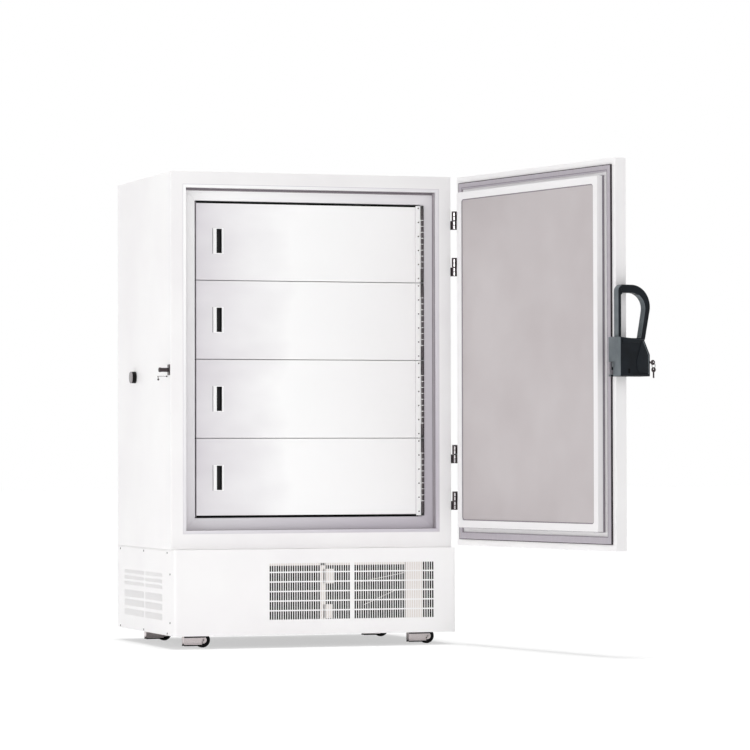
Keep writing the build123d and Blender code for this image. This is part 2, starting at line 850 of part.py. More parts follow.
with BuildPart() as port_plug:
    with BuildSketch(sideways(-half - port_reach + port_disc)):
        with Locations((port_depth, port_height)):
            Circle(port_radius)
    extrude(amount=port_reach - port_disc)
    with BuildSketch(sideways(-half)):
        with Locations((port_depth, port_height)):
            Circle(port_bore)
    extrude(amount=half - liner[0])
save(port_plug.part, "port_plug")

with BuildPart() as port_disc_plate:
    with BuildSketch(sideways(-half - port_reach)):
        with Locations((port_depth, port_height)):
            Circle(port_radius)
    extrude(amount=port_disc)
save(port_disc_plate.part, "port_disc")

# Base frame: a channel along each side, a floor between them and four corner posts

frame_low = ground_clearance
channel_top = frame_low + channel_height
frame_near = -base_forward + panel_round + joint_gap
frame_far = cabinet_depth - sheet - joint_gap
channel_outer = half - sheet - joint_gap
channel_inner = channel_outer - channel_width

with BuildPart() as base_channels:
    for sign in (-1, 1):
        x0, x1 = sorted((sign * channel_inner, sign * channel_outer))
        block(x0, x1, frame_near, frame_far, frame_low, channel_top)
        block(x0 + frame_wall, x1 - frame_wall, frame_near, frame_far, frame_low, channel_top - frame_wall,
              mode=Mode.SUBTRACT)

with BuildPart() as base_floor:
    block(-channel_inner, channel_inner, frame_near, frame_far, frame_low, frame_low + frame_wall)
    for depth in (frame_near, frame_far - frame_wall):
        block(-channel_inner, channel_inner, depth, depth + frame_wall, frame_low, channel_top)
save(base_floor.part, "base_floor")

with BuildPart() as base_posts:
    for sign in (-1, 1):
        for depth0, depth1 in ((joint_gap, post_width), (frame_far - post_width, frame_far)):
            x0, x1 = sorted((sign * channel_outer, sign * (channel_outer - post_width)))
            block(x0, x1, depth0, depth1, channel_top, ledge)
            block(x0 + frame_wall, x1 - frame_wall, depth0 + frame_wall, depth1 - frame_wall,
                  channel_top, ledge, mode=Mode.SUBTRACT)
save(Compound(children=[base_channels.part, base_posts.part]), "base_frame")

# Front base panel: one bent sheet with rounded corners, a top flange and two blocks of slots

panel_near = -base_forward
slots_top = slots_bottom + (slot_rows - 1) * slot_row_pitch + slot_height
block_width = (slot_columns - 1) * slot_pitch + slot_width

with BuildPart() as front_grille:
    with BuildSketch(Plane.XY.offset(frame_low)) as wrap:
        with Locations((0, front + panel_near / 2)):
            Rectangle(cabinet_width, base_forward)
        fillet(wrap.vertices().group_by(Axis.Y)[0], radius=panel_round)
    extrude(amount=base_height)
    with BuildSketch(Plane.XY.offset(frame_low)) as hollow:
        with Locations((0, front + (panel_near + sheet) / 2)):
            Rectangle(cabinet_width - 2 * sheet, base_forward - sheet)
        fillet(hollow.vertices().group_by(Axis.Y)[0], radius=panel_round - sheet)
    extrude(amount=base_height - sheet, mode=Mode.SUBTRACT)
    with BuildSketch(upright(panel_near + sheet)):
        for block_start in slot_block_starts:
            with Locations((block_start + block_width / 2, (slots_bottom + slots_top) / 2)):
                with GridLocations(slot_pitch, slot_row_pitch, slot_columns, slot_rows):
                    Rectangle(slot_width, slot_height)
    extrude(amount=sheet, mode=Mode.SUBTRACT)
save(front_grille.part, "front_grille")

# Side covers of the base: sheets with a folded top edge and rows of long slots

fold_near = post_width + 2 * joint_gap
fold_far = frame_far - post_width - joint_gap
side_blocks = ((side_slots_near, side_slots_middle - side_slots_bridge / 2),
               (side_slots_middle + side_slots_bridge / 2, cabinet_depth - side_slots_far))


def side_cover(sign):
    """One side cover; sign is -1 for the left one and 1 for the right one."""
    with BuildPart() as cover:
        x0, x1 = sorted((sign * (half - sheet), sign * half))
        block(x0, x1, joint_gap, cabinet_depth - sheet - joint_gap, frame_low, cover_top)
        x0, x1 = sorted((sign * (half - cover_fold), sign * half))
        block(x0, x1, fold_near, fold_far, cover_top - sheet, cover_top)
        x0, x1 = sorted((sign * (half - sheet), sign * half))
        for rise, tall in side_rows:
            low = frame_low + rise
            for near, far in side_blocks:
                block(x0, x1, near, far, low, low + tall, mode=Mode.SUBTRACT)
    return cover.part


save(side_cover(-1), "side_cover_left")
save(side_cover(1), "side_cover_right")

screw_top = cover_top - screw_inset
screw_low = frame_low + screw_inset
screw_sides = 12
row_depths = (screw_front_inset, cabinet_depth / 2, cabinet_depth - screw_rear_inset)
screw_spots = [(depth, height) for height in (screw_low, screw_top) for depth in row_depths]
screw_spots += [(screw_edge_inset, frame_low + rise) for rise in screw_side_rises]
with BuildPart() as cover_screws:
    for sign in (-1, 1):
        with BuildSketch(sideways(sign * half)):
            with Locations(*screw_spots):
                RegularPolygon(screw_radius, screw_sides)
        extrude(amount=sign * screw_height)
save(cover_screws.part, "cover_screws")

# Rear panel of the base, with air slots and the cut-out for the power inlet

inlet_x = half - inlet_side_gap
inlet_height = frame_low + inlet_above

with BuildPart() as rear_grille:
    slab((half, frame_low, ledge - joint_gap), cabinet_depth - sheet, cabinet_depth)
    with BuildSketch(upright(cabinet_depth)):
        with Locations((-half + rear_slot_left_gap + rear_slot_width + rear_slot_bridge / 2,
                        (frame_low + ledge) / 2)):
            with GridLocations(rear_slot_width + rear_slot_bridge, rear_slot_pitch, 2, rear_slot_rows):
                Rectangle(rear_slot_width, rear_slot_tall)
        with Locations((inlet_x, inlet_height)):
            Rectangle(inlet_width - 2 * inlet_flange, inlet_tall - 2 * inlet_flange)
    extrude(amount=sheet, mode=Mode.SUBTRACT)
save(rear_grille.part, "rear_grille")

with BuildPart() as power_inlet:
    with BuildSketch(upright(cabinet_depth)):
        with Locations((inlet_x, inlet_height)):
            Rectangle(inlet_width, inlet_tall)
    extrude(amount=-inlet_flange)
    with BuildSketch(upright(cabinet_depth)):
        with Locations((inlet_x, inlet_height)):
            Rectangle(inlet_width - 2 * inlet_flange - joint_gap, inlet_tall - 2 * inlet_flange - joint_gap)
    extrude(amount=inlet_body)
    with BuildSketch(upright(cabinet_depth + inlet_flange)):
        with Locations((inlet_x, inlet_height)):
            Rectangle(inlet_slot_width, inlet_slot_tall)
    extrude(amount=inlet_body, mode=Mode.SUBTRACT)
save(power_inlet.part, "power_inlet")

# Castors: a plate with a ball race under each channel, a trailing fork on it and a wheel

plate_top = channel_top - frame_wall
race_low = plate_top - castor_plate_thickness - race_height
crown_top = race_low - joint_gap
crown_low = crown_top - fork_wall
cheek_gap = wheel_width / 2 + wheel_clear
pivot_x = half - castor_inset
castor_names = ("front_left", "front_right", "rear_left", "rear_right")
castor_spots = [(sign * pivot_x, depth) for depth in castor_depths for sign in (-1, 1)]

with BuildPart() as castor_plates:
    for x, depth in castor_spots:
        block(x - castor_plate_length / 2, x + castor_plate_length / 2,
              depth - castor_plate_width / 2, depth + castor_plate_width / 2,
              plate_top - castor_plate_thickness, plate_top)
        with BuildSketch(Plane.XY.offset(race_low)):
            with Locations((x, front + depth)):
                Circle(race_radius)
        extrude(amount=race_height)
save(castor_plates.part, "castor_plates")

for name, (x, depth) in zip(castor_names, castor_spots):
    with BuildPart() as castor_fork:
        with BuildSketch(Plane.XY.offset(crown_low)):
            with Locations((x, front + depth)):
                Circle(race_radius)
        extrude(amount=fork_wall)
        for side in (-1, 1):
            inner = cheek_gap + (fork_wall if side > 0 else 0)
            with BuildSketch(upright(depth + side * inner)):
                with BuildLine():
                    Polyline((x - fork_neck, crown_top), (x + fork_neck, crown_top),
                             (x + castor_trail + fork_boss, wheel_radius),
                             (x + castor_trail, wheel_radius - fork_boss),
                             (x - fork_rear, wheel_radius - fork_boss), (x - fork_rear, fork_arm_height),
                             (x - fork_neck, fork_arm_height), close=True)
                make_face()
                with Locations((x + castor_trail, wheel_radius)):
                    Circle(fork_boss)
            extrude(amount=fork_wall)
        block(x - fork_rear, x - fork_rear + fork_wall, depth - cheek_gap, depth + cheek_gap,
              wheel_radius - fork_boss, fork_arm_height)
    with BuildPart() as axle:
        with BuildSketch(upright(depth + cheek_gap + fork_wall)):
            with Locations((x + castor_trail, wheel_radius)):
                Circle(axle_radius)
        extrude(amount=2 * (cheek_gap + fork_wall))
    save(Compound(children=[castor_fork.part, axle.part]), f"castor_fork_{name}")

    with BuildPart() as castor_wheel:
        with BuildSketch(upright(depth + wheel_width / 2)):
            with Locations((x + castor_trail, wheel_radius)):
                Circle(wheel_radius)
                Circle(axle_radius + running_fit, mode=Mode.SUBTRACT)
        extrude(amount=wheel_width)
        chamfer(castor_wheel.edges().filter_by(GeomType.CIRCLE).group_by(SortBy.RADIUS)[-1],
                length=wheel_chamfer)
    save(castor_wheel.part, f"castor_wheel_{name}")

# Refrigeration plant on the base floor: two compressors, condenser, fan, pipes and control box

floor_top = frame_low + frame_wall
compressor_depth = condenser_depth + control_box_depth + compressor_gap + compressor_radius
compressor_xs = (-half + compressor_left_gap, -half + compressor_left_gap + compressor_spacing)
compressor_low = floor_top + foot_height + compressor_plate
compressor_top = compressor_low + compressor_height

with BuildPart() as compressors:
    for x in compressor_xs:
        with BuildSketch(Plane.XY.offset(compressor_low)):
            with Locations((x, front + compressor_depth)):
                Circle(compressor_radius)
        extrude(amount=compressor_height)
    chamfer(compressors.faces().filter_by(Axis.Z).group_by(Axis.Z)[-1].edges(), length=compressor_dome)
    for x in compressor_xs:
        block(x - compressor_radius, x + compressor_radius, compressor_depth - compressor_radius,
              compressor_depth + compressor_radius, compressor_low - compressor_plate, compressor_low)
save(compressors.part, "compressors")

with BuildPart() as compressor_feet:
    for x in compressor_xs:
        with BuildSketch(Plane.XY.offset(floor_top)):
            with Locations((x, front + compressor_depth)):
                with GridLocations(2 * foot_spread, 2 * foot_spread, 2, 2):
                    RegularPolygon(foot_radius, foot_sides)
        extrude(amount=foot_height)
save(compressor_feet.part, "compressor_feet")

condenser_right = half - condenser_right_gap
condenser_left = condenser_right - condenser_width
condenser_x = (condenser_left + condenser_right) / 2
condenser_far = condenser_depth + condenser_thickness
fan_height = floor_top + condenser_height / 2

with BuildPart() as condenser:
    block(condenser_left + end_plate, condenser_right - end_plate, condenser_depth + end_plate,
          condenser_far - end_plate, floor_top + end_plate, floor_top + condenser_height - end_plate)
    for left in (condenser_left, condenser_right - end_plate):
        block(left, left + end_plate, condenser_depth, condenser_far, floor_top, floor_top + condenser_height)
save(condenser.part, "condenser")


def fan_plane(depth):
    return Plane(origin=(condenser_x, front + depth, fan_height), x_dir=(1, 0, 0), z_dir=(0, -1, 0))


shroud_near = condenser_far
shroud_far = shroud_near + shroud_depth
motor_near = shroud_far + joint_gap
with BuildPart() as fan_shroud:
    with BuildSketch(fan_plane(shroud_far)):
        Rectangle(condenser_width, condenser_height)
        Circle(fan_radius + fan_clear, mode=Mode.SUBTRACT)
    extrude(amount=shroud_depth)
    with BuildSketch(fan_plane(shroud_far - shroud_wall)):
        Rectangle(condenser_width - 2 * shroud_wall, condenser_height - 2 * shroud_wall)
        Circle(fan_radius + fan_clear + shroud_wall, mode=Mode.SUBTRACT)
    extrude(amount=shroud_depth - shroud_wall, mode=Mode.SUBTRACT)
save(fan_shroud.part, "fan_shroud")

with BuildPart() as fan_motor:
    with BuildSketch(fan_plane(motor_near + motor_length)):
        Circle(motor_radius)
    extrude(amount=motor_length)
    with BuildSketch(fan_plane(motor_near + motor_arm)):
        Rectangle(2 * (fan_radius + 2 * fan_clear), motor_arm)
    extrude(amount=motor_arm)
    with BuildSketch(fan_plane(motor_near)):
        Circle(shaft_radius)
    extrude(amount=shroud_depth - fan_clear / 2)
save(fan_motor.part, "fan_motor")

with BuildPart() as fan_rotor:
    with BuildSketch(fan_plane(shroud_far - fan_clear / 2)):
        Circle(fan_hub_radius)
        Circle(shaft_radius + running_fit, mode=Mode.SUBTRACT)
    extrude(amount=fan_depth)
    for number in range(fan_blades):
        turn = 360 * number / fan_blades
        across = (cos(radians(turn)), 0, sin(radians(turn)))
        blade_root = Plane(
            origin=(condenser_x, front + shroud_far - fan_clear / 2 - fan_depth / 2, fan_height),
            x_dir=(0, 1, 0), z_dir=across)
        with BuildSketch(blade_root.offset(fan_hub_radius - fan_clear)):
            Rectangle(blade_thickness, blade_width, rotation=blade_pitch)
        with BuildSketch(blade_root.offset(fan_radius)):
            Rectangle(blade_thickness, blade_width, rotation=blade_pitch)
        loft()
save(fan_rotor.part, "fan_rotor")

pipe_start = compressor_top + joint_gap


def pipe_run(points):
    """A bent pipe along a line of points."""
    with BuildPart() as pipe:
        with BuildLine() as run:
            FilletPolyline(*points, radius=pipe_bend)
        with BuildSketch(Plane(origin=run.line @ 0, z_dir=run.line % 0)) as section:
            RegularPolygon(pipe_radius, pipe_sides)
        sweep(section.sketch, path=run.line)
    return pipe.part


middle_y = front + compressor_depth
left_x, right_x = compressor_xs
loop_height = pipe_start + 2 * pipe_bend
discharge = pipe_run(((right_x, middle_y, pipe_start), (right_x, middle_y, loop_height),
                      (condenser_right + pipe_rise, middle_y, loop_height),
                      (condenser_right + pipe_rise, front + condenser_depth + pipe_rise, loop_height),
                      (condenser_right + pipe_rise, front + condenser_depth + pipe_rise, fan_height)))
link = pipe_run(((left_x, middle_y, pipe_start), (left_x, middle_y, loop_height),
                 (condenser_left - pipe_rise, middle_y, loop_height),
                 (condenser_left - pipe_rise, front + condenser_depth + pipe_rise, loop_height),
                 (condenser_left - pipe_rise, front + condenser_depth + pipe_rise, fan_height)))
save(Compound(children=[discharge, link]), "refrigerant_pipes")

with BuildPart() as control_box:
    control_box_left = -channel_inner + control_box_gap
    block(control_box_left, control_box_left + control_box_width,
          condenser_depth, condenser_depth + control_box_depth, floor_top, floor_top + control_box_height)
save(control_box.part, "control_box")
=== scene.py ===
"""Finishes, small fittings, stage and camera for an upright laboratory freezer with an open door."""

import json
import math

import bmesh
import bpy
from bpy.props import FloatProperty, FloatVectorProperty, IntProperty, PointerProperty
from bpy.types import Operator, Panel, PropertyGroup
from mathutils import Matrix, Vector


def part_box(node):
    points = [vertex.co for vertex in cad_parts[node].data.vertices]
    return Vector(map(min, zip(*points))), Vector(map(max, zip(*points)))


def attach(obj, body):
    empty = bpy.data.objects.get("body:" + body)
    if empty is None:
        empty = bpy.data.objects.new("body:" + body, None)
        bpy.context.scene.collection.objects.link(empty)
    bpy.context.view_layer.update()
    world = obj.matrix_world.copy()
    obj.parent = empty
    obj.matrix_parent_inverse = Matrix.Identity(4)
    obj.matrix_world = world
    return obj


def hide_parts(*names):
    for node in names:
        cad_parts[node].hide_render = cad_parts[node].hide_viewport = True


bl_info = {
    "name": "Laboratory freezer finishes",
    "version": (1, 0, 0),
    "blender": (4, 5, 0),
    "location": "View3D > Sidebar > Freezer",
    "description": "Materials, fittings and stage for a laboratory freezer",
    "category": "Object",
}

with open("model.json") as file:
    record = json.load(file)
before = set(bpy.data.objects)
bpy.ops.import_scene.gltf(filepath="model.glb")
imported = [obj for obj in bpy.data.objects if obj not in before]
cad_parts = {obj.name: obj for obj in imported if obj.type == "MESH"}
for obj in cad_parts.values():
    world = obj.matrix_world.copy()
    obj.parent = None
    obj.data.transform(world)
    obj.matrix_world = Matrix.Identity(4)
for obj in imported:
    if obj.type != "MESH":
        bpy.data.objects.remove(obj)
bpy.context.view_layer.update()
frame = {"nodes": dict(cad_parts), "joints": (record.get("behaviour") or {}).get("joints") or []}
MM = 0.001
joint_at = {joint["name"]: Vector(joint["pos_m"]) for joint in frame["joints"] if "pos_m" in joint}
DOOR_ANGLE = 101.1
FRONT = -0.439
hinge_line = joint_at["outer_door_hinge"].copy()
hinge_line.z = 0
swing = (Matrix.Translation(hinge_line) @ Matrix.Rotation(math.radians(DOOR_ANGLE), 4, "Z")
         @ Matrix.Translation(-hinge_line))
made = {}


# Colours, node helper and materials

def linear(code):
    """An sRGB hex colour as a linear one with full alpha."""
    parts = [int(code[i:i + 2], 16) / 255 for i in (1, 3, 5)]
    return [c / 12.92 if c <= 0.04045 else ((c + 0.055) / 1.055) ** 2.4 for c in parts] + [1.0]


def add(tree, kind, sockets=None, **settings):
    """One node with its settings; a socket is given a value or a link."""
    made_node = tree.nodes.new(kind)
    for key, value in settings.items():
        setattr(made_node, key, value)
    for key, value in (sockets or {}).items():
        if isinstance(value, bpy.types.NodeSocket):
            tree.links.new(value, made_node.inputs[key])
        else:
            made_node.inputs[key].default_value = value
    return made_node


def finish_of(name, roughness, metallic=0.0, **sockets):
    """An empty material with its surface shader."""
    material = bpy.data.materials.new(name)
    material.use_nodes = True
    tree = material.node_tree
    tree.nodes.clear()
    values = {"Roughness": roughness, "Metallic": metallic}
    values.update({key.replace("_", " "): value for key, value in sockets.items()})
    shader = add(tree, "ShaderNodeBsdfPrincipled", values)
    add(tree, "ShaderNodeOutputMaterial", {"Surface": shader.outputs["BSDF"]})
    return material, tree, shader


def speckle(tree, size, stretch=(1, 1, 1), detail=3.0):
    """Noise on object coordinates; size is one grain in metres, stretched along the axes."""
    place = add(tree, "ShaderNodeTexCoord")
    scale = [1 / (size * s) for s in stretch]
    mapped = add(tree, "ShaderNodeMapping", {"Vector": place.outputs["Object"], "Scale": scale})
    return add(tree, "ShaderNodeTexNoise", {"Vector": mapped.outputs["Vector"], "Scale": 1.0, "Detail": detail})


def tint(tree, shader, factor, first, second, low=0.3, high=0.7):
    """Base colour that runs between two colours along a factor."""
    ramp = add(tree, "ShaderNodeValToRGB", {"Fac": factor})
    ramp.color_ramp.elements[0].position = low
    ramp.color_ramp.elements[0].color = linear(first)
    ramp.color_ramp.elements[1].position = high
    ramp.color_ramp.elements[1].color = linear(second)
    tree.links.new(ramp.outputs["Color"], shader.inputs["Base Color"])
    return ramp


def rough(tree, shader, factor, low, high):
    spread = add(tree, "ShaderNodeMapRange", {"Value": factor, "To Min": low, "To Max": high})
    tree.links.new(spread.outputs["Result"], shader.inputs["Roughness"])


def relief(tree, shader, height, distance, strength=1.0):
    bump = add(tree, "ShaderNodeBump", {"Height": height, "Distance": distance, "Strength": strength})
    tree.links.new(bump.outputs["Normal"], shader.inputs["Normal"])


def powder_coat():
    # Polyester powder coat on sheet steel: soft sheen and an orange peel of about 2 mm, drawn at 4 mm to show
    material, tree, shader = finish_of("white_powder_coat", 0.42, Specular_IOR_Level=0.4)
    peel = speckle(tree, 0.004)
    cloud = speckle(tree, 0.35, detail=2.0)
    tint(tree, shader, cloud.outputs["Fac"], look().coat_shade, look().coat_light)
    rough(tree, shader, peel.outputs["Fac"], 0.36, 0.5)
    relief(tree, shader, peel.outputs["Fac"], 0.00006)
    return material


def brushed_steel():
    # Stainless sheet ground along its width: lines of about 0.3 mm, drawn at 1.5 mm, with cloudy handling marks
    # and painted shade darkening the left half towards its edge
    material, tree, shader = finish_of("brushed_stainless_sheet", 0.38, 0.5, Specular_IOR_Level=0.5)
    lines = speckle(tree, 0.0015, (160, 160, 1), 4.0)
    cloud = speckle(tree, 0.22, (1.4, 1, 0.8), 2.5)
    place = add(tree, "ShaderNodeTexCoord")
    split = add(tree, "ShaderNodeSeparateXYZ", {"Vector": place.outputs["Object"]})
    # Painted shade: the sheet darkens from the middle towards its left edge
    across = add(tree, "ShaderNodeMapRange", {"Value": split.outputs["X"], "From Min": -0.5, "From Max": 0.0})
    mixed = add(tree, "ShaderNodeMath", {0: across.outputs["Result"], 1: 0.62}, operation="MULTIPLY")
    marks_and_left_shade = add(tree, "ShaderNodeMath", {0: cloud.outputs["Fac"], 1: 0.38, 2: mixed.outputs[0]},
                  operation="MULTIPLY_ADD")
    tint(tree, shader, marks_and_left_shade.outputs[0], "#d0ccd1", "#f7f7f7", 0.15, 0.7)
    rough(tree, shader, lines.outputs["Fac"], 0.3, 0.46)
    relief(tree, shader, lines.outputs["Fac"], 0.00004)
    return material


def blasted_steel():
    # Stainless sheet blasted with glass beads: a matt grain of about 0.5 mm, drawn at 2 mm, warm grey
    material, tree, shader = finish_of("bead_blasted_stainless", 0.5, 0.45, Specular_IOR_Level=0.5)
    grain = speckle(tree, 0.002, detail=5.0)
    cloud = speckle(tree, 0.3, detail=2.0)
    tint(tree, shader, cloud.outputs["Fac"], "#bdb6b7", "#c5bfc0")
    rough(tree, shader, grain.outputs["Fac"], 0.42, 0.6)
    relief(tree, shader, grain.outputs["Fac"], 0.00012)
    return material


def liner_steel():
    # Stainless liner and shelves, cold rolled: brighter, with long rolling lines along the depth
    material, tree, shader = finish_of("rolled_stainless", 0.3, 0.85)
    lines = speckle(tree, 0.002, (1, 120, 1), 3.0)
    tint(tree, shader, lines.outputs["Fac"], "#b8b9bd", "#cfd0d3")
    rough(tree, shader, lines.outputs["Fac"], 0.24, 0.38)
    return material


def moulded_abs(name, shade, light, lean=1.0):
    # ABS mouldings of the opening, lavender grey, with painted light paler at the upper left and painted shade
    # darker towards the lower right: fine spark texture of about 0.3 mm, drawn at 1 mm
    material, tree, shader = finish_of(name, 0.4, Specular_IOR_Level=0.45)
    grain = speckle(tree, 0.001)
    place = add(tree, "ShaderNodeTexCoord")
    across = add(tree, "ShaderNodeVectorMath", {0: place.outputs["Object"], 1: (-lean, 0.0, lean)},
                 operation="DOT_PRODUCT")
    painted_light_fall = add(tree, "ShaderNodeMapRange", {"Value": across.outputs["Value"], "From Min": 1.2 * lean - 1.0,
                                            "From Max": 1.2 * lean + 1.0})
    tint(tree, shader, painted_light_fall.outputs["Result"], shade, light, 0.0, 1.0)
    rough(tree, shader, grain.outputs["Fac"], 0.34, 0.5)
    relief(tree, shader, grain.outputs["Fac"], 0.00003)
    return material


def soft_pvc(name, first, second, shine=0.35):
    # Plasticised PVC gasket: dull, slightly waxy, with a faint drag pattern along the extrusion; in dark tones it
    # also draws painted shade
    material, tree, shader = finish_of(name, 0.55, Sheen_Weight=0.4 * shine, Specular_IOR_Level=shine)
    drag = speckle(tree, 0.0012, (1, 1, 30), 2.0)
    tint(tree, shader, drag.outputs["Fac"], first, second)
    relief(tree, shader, drag.outputs["Fac"], 0.00004)
    return material


def filled_nylon(name, shade, light):
    # Glass-filled nylon of the handle: near black with a blue cast and a leather-like grain of about 0.8 mm
    material, tree, shader = finish_of(name, 0.46, Specular_IOR_Level=0.14)
    grain = speckle(tree, 0.0014)
    wear = speckle(tree, 0.05, detail=4.0)
    tint(tree, shader, wear.outputs["Fac"], shade, light)
    rough(tree, shader, grain.outputs["Fac"], 0.34, 0.52)
    relief(tree, shader, grain.outputs["Fac"], 0.00012)
    return material


def dull_plastic(name, first, second, roughness=0.5):
    # Moulded ABS or polycarbonate parts: even colour with a light satin grain
    material, tree, shader = finish_of(name, roughness, Specular_IOR_Level=0.45)
    grain = speckle(tree, 0.0012)
    tint(tree, shader, grain.outputs["Fac"], first, second)
    rough(tree, shader, grain.outputs["Fac"], roughness - 0.06, roughness + 0.08)
    relief(tree, shader, grain.outputs["Fac"], 0.00004)
    return material


def plated(name, first, second, roughness, scale=0.004):
    # Bright zinc or nickel plate on pressed steel: metal with small patches of different gloss
    material, tree, shader = finish_of(name, roughness, 1.0)
    patch = speckle(tree, scale, detail=4.0)
    tint(tree, shader, patch.outputs["Fac"], first, second)
    rough(tree, shader, patch.outputs["Fac"], max(roughness - 0.08, 0.05), roughness + 0.1)
    relief(tree, shader, patch.outputs["Fac"], 0.00002)
    return material


def galvanised():
    # Hot-dip galvanised sheet: grey spangle of 8 to 15 mm crystals
    material, tree, shader = finish_of("galvanised_sheet", 0.45, 0.8)
    place = add(tree, "ShaderNodeTexCoord")
    spangle = add(tree, "ShaderNodeTexVoronoi", {"Vector": place.outputs["Object"], "Scale": 90.0})
    tint(tree, shader, spangle.outputs["Color"], "#a9a8a9", "#c9c7c8", 0.2, 0.8)
    rough(tree, shader, spangle.outputs["Distance"], 0.35, 0.55)
    return material


def tyre_rubber():
    # Black tread rubber of the castors: dull, dusty, with fine pits
    material, tree, shader = finish_of("castor_rubber", 0.75, Specular_IOR_Level=0.3)
    pits = speckle(tree, 0.0015)
    tint(tree, shader, pits.outputs["Fac"], "#0e0e10", "#1d1c1e")
    relief(tree, shader, pits.outputs["Fac"], 0.00015)
    return material


def foam():
    # Rigid polyurethane foam: cream with closed cells of about 1 mm, drawn at 3 mm
    material, tree, shader = finish_of("rigid_foam", 0.85, Specular_IOR_Level=0.2)
    place = add(tree, "ShaderNodeTexCoord")
    cells = add(tree, "ShaderNodeTexVoronoi", {"Vector": place.outputs["Object"], "Scale": 330.0})
    tint(tree, shader, cells.outputs["Distance"], "#d9cda2", "#efe6c6", 0.1, 0.6)
    relief(tree, shader, cells.outputs["Distance"], 0.0004)
    return material


def materials():
    """Every finish, made once."""
    if made:
        return made
    made.update({
        "coat": powder_coat(), "brushed": brushed_steel(), "blasted": blasted_steel(),
        # Both ABS mouldings carry painted light and shade that run across them
        "liner": liner_steel(), "frame": moulded_abs("grey_abs_moulding", look().frame_shade, look().frame_light),
        "door_frame": moulded_abs("white_abs_moulding", "#e9e7e8", "#f4f3f4", 0.3), "foam": foam(),
        "nylon": filled_nylon("charcoal_filled_nylon", look().handle_shade, look().handle_light),
        # A lighter tone for the raised wedge and lid on the housing's end
        "nylon_mid": filled_nylon("lighter_filled_nylon", "#12171b", "#1a1f24"),
        # Lighter grey for the handle's faces to the left: painted sheen
        "nylon_sheen": filled_nylon("painted_sheen_nylon", "#5f666a", "#6c7276"),
        "gasket": soft_pvc("gasket_pvc", "#a8a2aa", "#b6b0b7"),
        # Grey PVC for the gasket's lips, also the painted shadow at the pulls' left edges
        "lip": soft_pvc("gasket_lip_and_shadow_pvc", "#7b757d", "#8a848b"),
        # Dark PVC for painted shade: the recess bead, its wall ribs and the line round the door's panel
        "bead": soft_pvc("painted_shade_bead_pvc", "#7d767c", "#918a90"),
        # Dark PVC for the painted shade on the gasket's outer wall
        "edge": soft_pvc("gasket_painted_shade_pvc", "#2c272b", "#3d373b", 0.1),
        "line": soft_pvc("frame_shadow_line", "#d6d3d7", "#dfdce0"),
        # Darker lining for painted shade on the recess walls and beside the inner doors' hinge strips
        "wall": soft_pvc("recess_shade_pvc", "#aaa2a9", "#bdb6bc"),
        # Black for the seals, and for painted shade in gaps, slots and on the castor forks
        "seal": soft_pvc("black_seal_and_gap_shade", "#060606", "#0c0c0c", 0.05),
        "filter": soft_pvc("black_filter_mat", "#080708", "#141213", 0.02),
        "plant": dull_plastic("cream_plant_plate", "#dcd5d0", "#efe9e5", 0.5),
        "gun": plated("gunmetal_plate", "#3a3436", "#4e4749", 0.3, 0.006),
        "claw": plated("zinc_nickel_claw", "#9b979c", "#aaa6ab", 0.5, 0.006),
        "beads": plated("worn_hinge_beads", "#3b3739", "#5a5557", 0.4, 0.004),
        "pull": dull_plastic("white_pull_moulding", "#f6f6f7", "#fcfcfc", 0.45),
        # Black lining for the painted shade in the pulls' slots
        "pocket": dull_plastic("pocket_painted_shade", "#101012", "#1b1b1e", 0.6),
        "dark": dull_plastic("dark_plastic", "#141518", "#212226", 0.42),
        "grey": dull_plastic("light_grey_plastic", "#b9babc", "#c6c7c9", 0.5),
        "port": soft_pvc("port_rubber", "#0a0809", "#161314", 0.08),
        "disc": dull_plastic("grey_port_disc", "#8d888b", "#a09b9d", 0.5),
        "zinc": plated("zinc_plate", "#c9c0c1", "#ddd5d5", 0.35),
        # Bright metal for the painted highlights on the outer hinges
        "highlight_metal": plated("hinge_highlight_plate", "#c8c6c8", "#e2e0e1", 0.16, 0.01),
        "screw": plated("dark_screw_plate", "#454143", "#5d595b", 0.35, 0.002),
        "galvanised": galvanised(), "rubber": tyre_rubber(),
        "enamel": dull_plastic("black_enamel", "#0b0b0c", "#161617", 0.34),
        "fins": plated("bare_aluminium", "#b9bcc0", "#d2d4d8", 0.4),
        "copper": plated("copper_tube", "#a8603f", "#c27c55", 0.3, 0.01),
        "brass": plated("nickel_silver_key", "#8f8a78", "#b2ab96", 0.3, 0.006),
        "lens": dull_plastic("smoked_lens", "#0a0d12", "#10141a", 0.12),
    })
    return made


# Geometry helpers

def look():
    return bpy.context.scene.freezer_look


def sizes():
    return bpy.context.scene.freezer_sizes


def brick(bm, low, high):
    """A block between two corners in metres, from Blender's own cube."""
    low, high = Vector(low), Vector(high)
    grown = bmesh.ops.create_cube(bm, size=1.0)["verts"]
    bmesh.ops.scale(bm, vec=high - low, verts=grown)
    bmesh.ops.translate(bm, vec=(low + high) / 2, verts=grown)
    return grown


def rod(bm, start, end, radius, segments=24, tip=None):
    """A rod or cone between two points in metres."""
    start, end = Vector(start), Vector(end)
    along = end - start
    turn = Vector((0, 0, 1)).rotation_difference(along.normalized()).to_matrix().to_4x4()
    place = Matrix.Translation((start + end) / 2) @ turn
    return bmesh.ops.create_cone(bm, cap_ends=True, segments=segments, radius1=radius,
                                 radius2=radius if tip is None else tip, depth=along.length,
                                 matrix=place)["verts"]


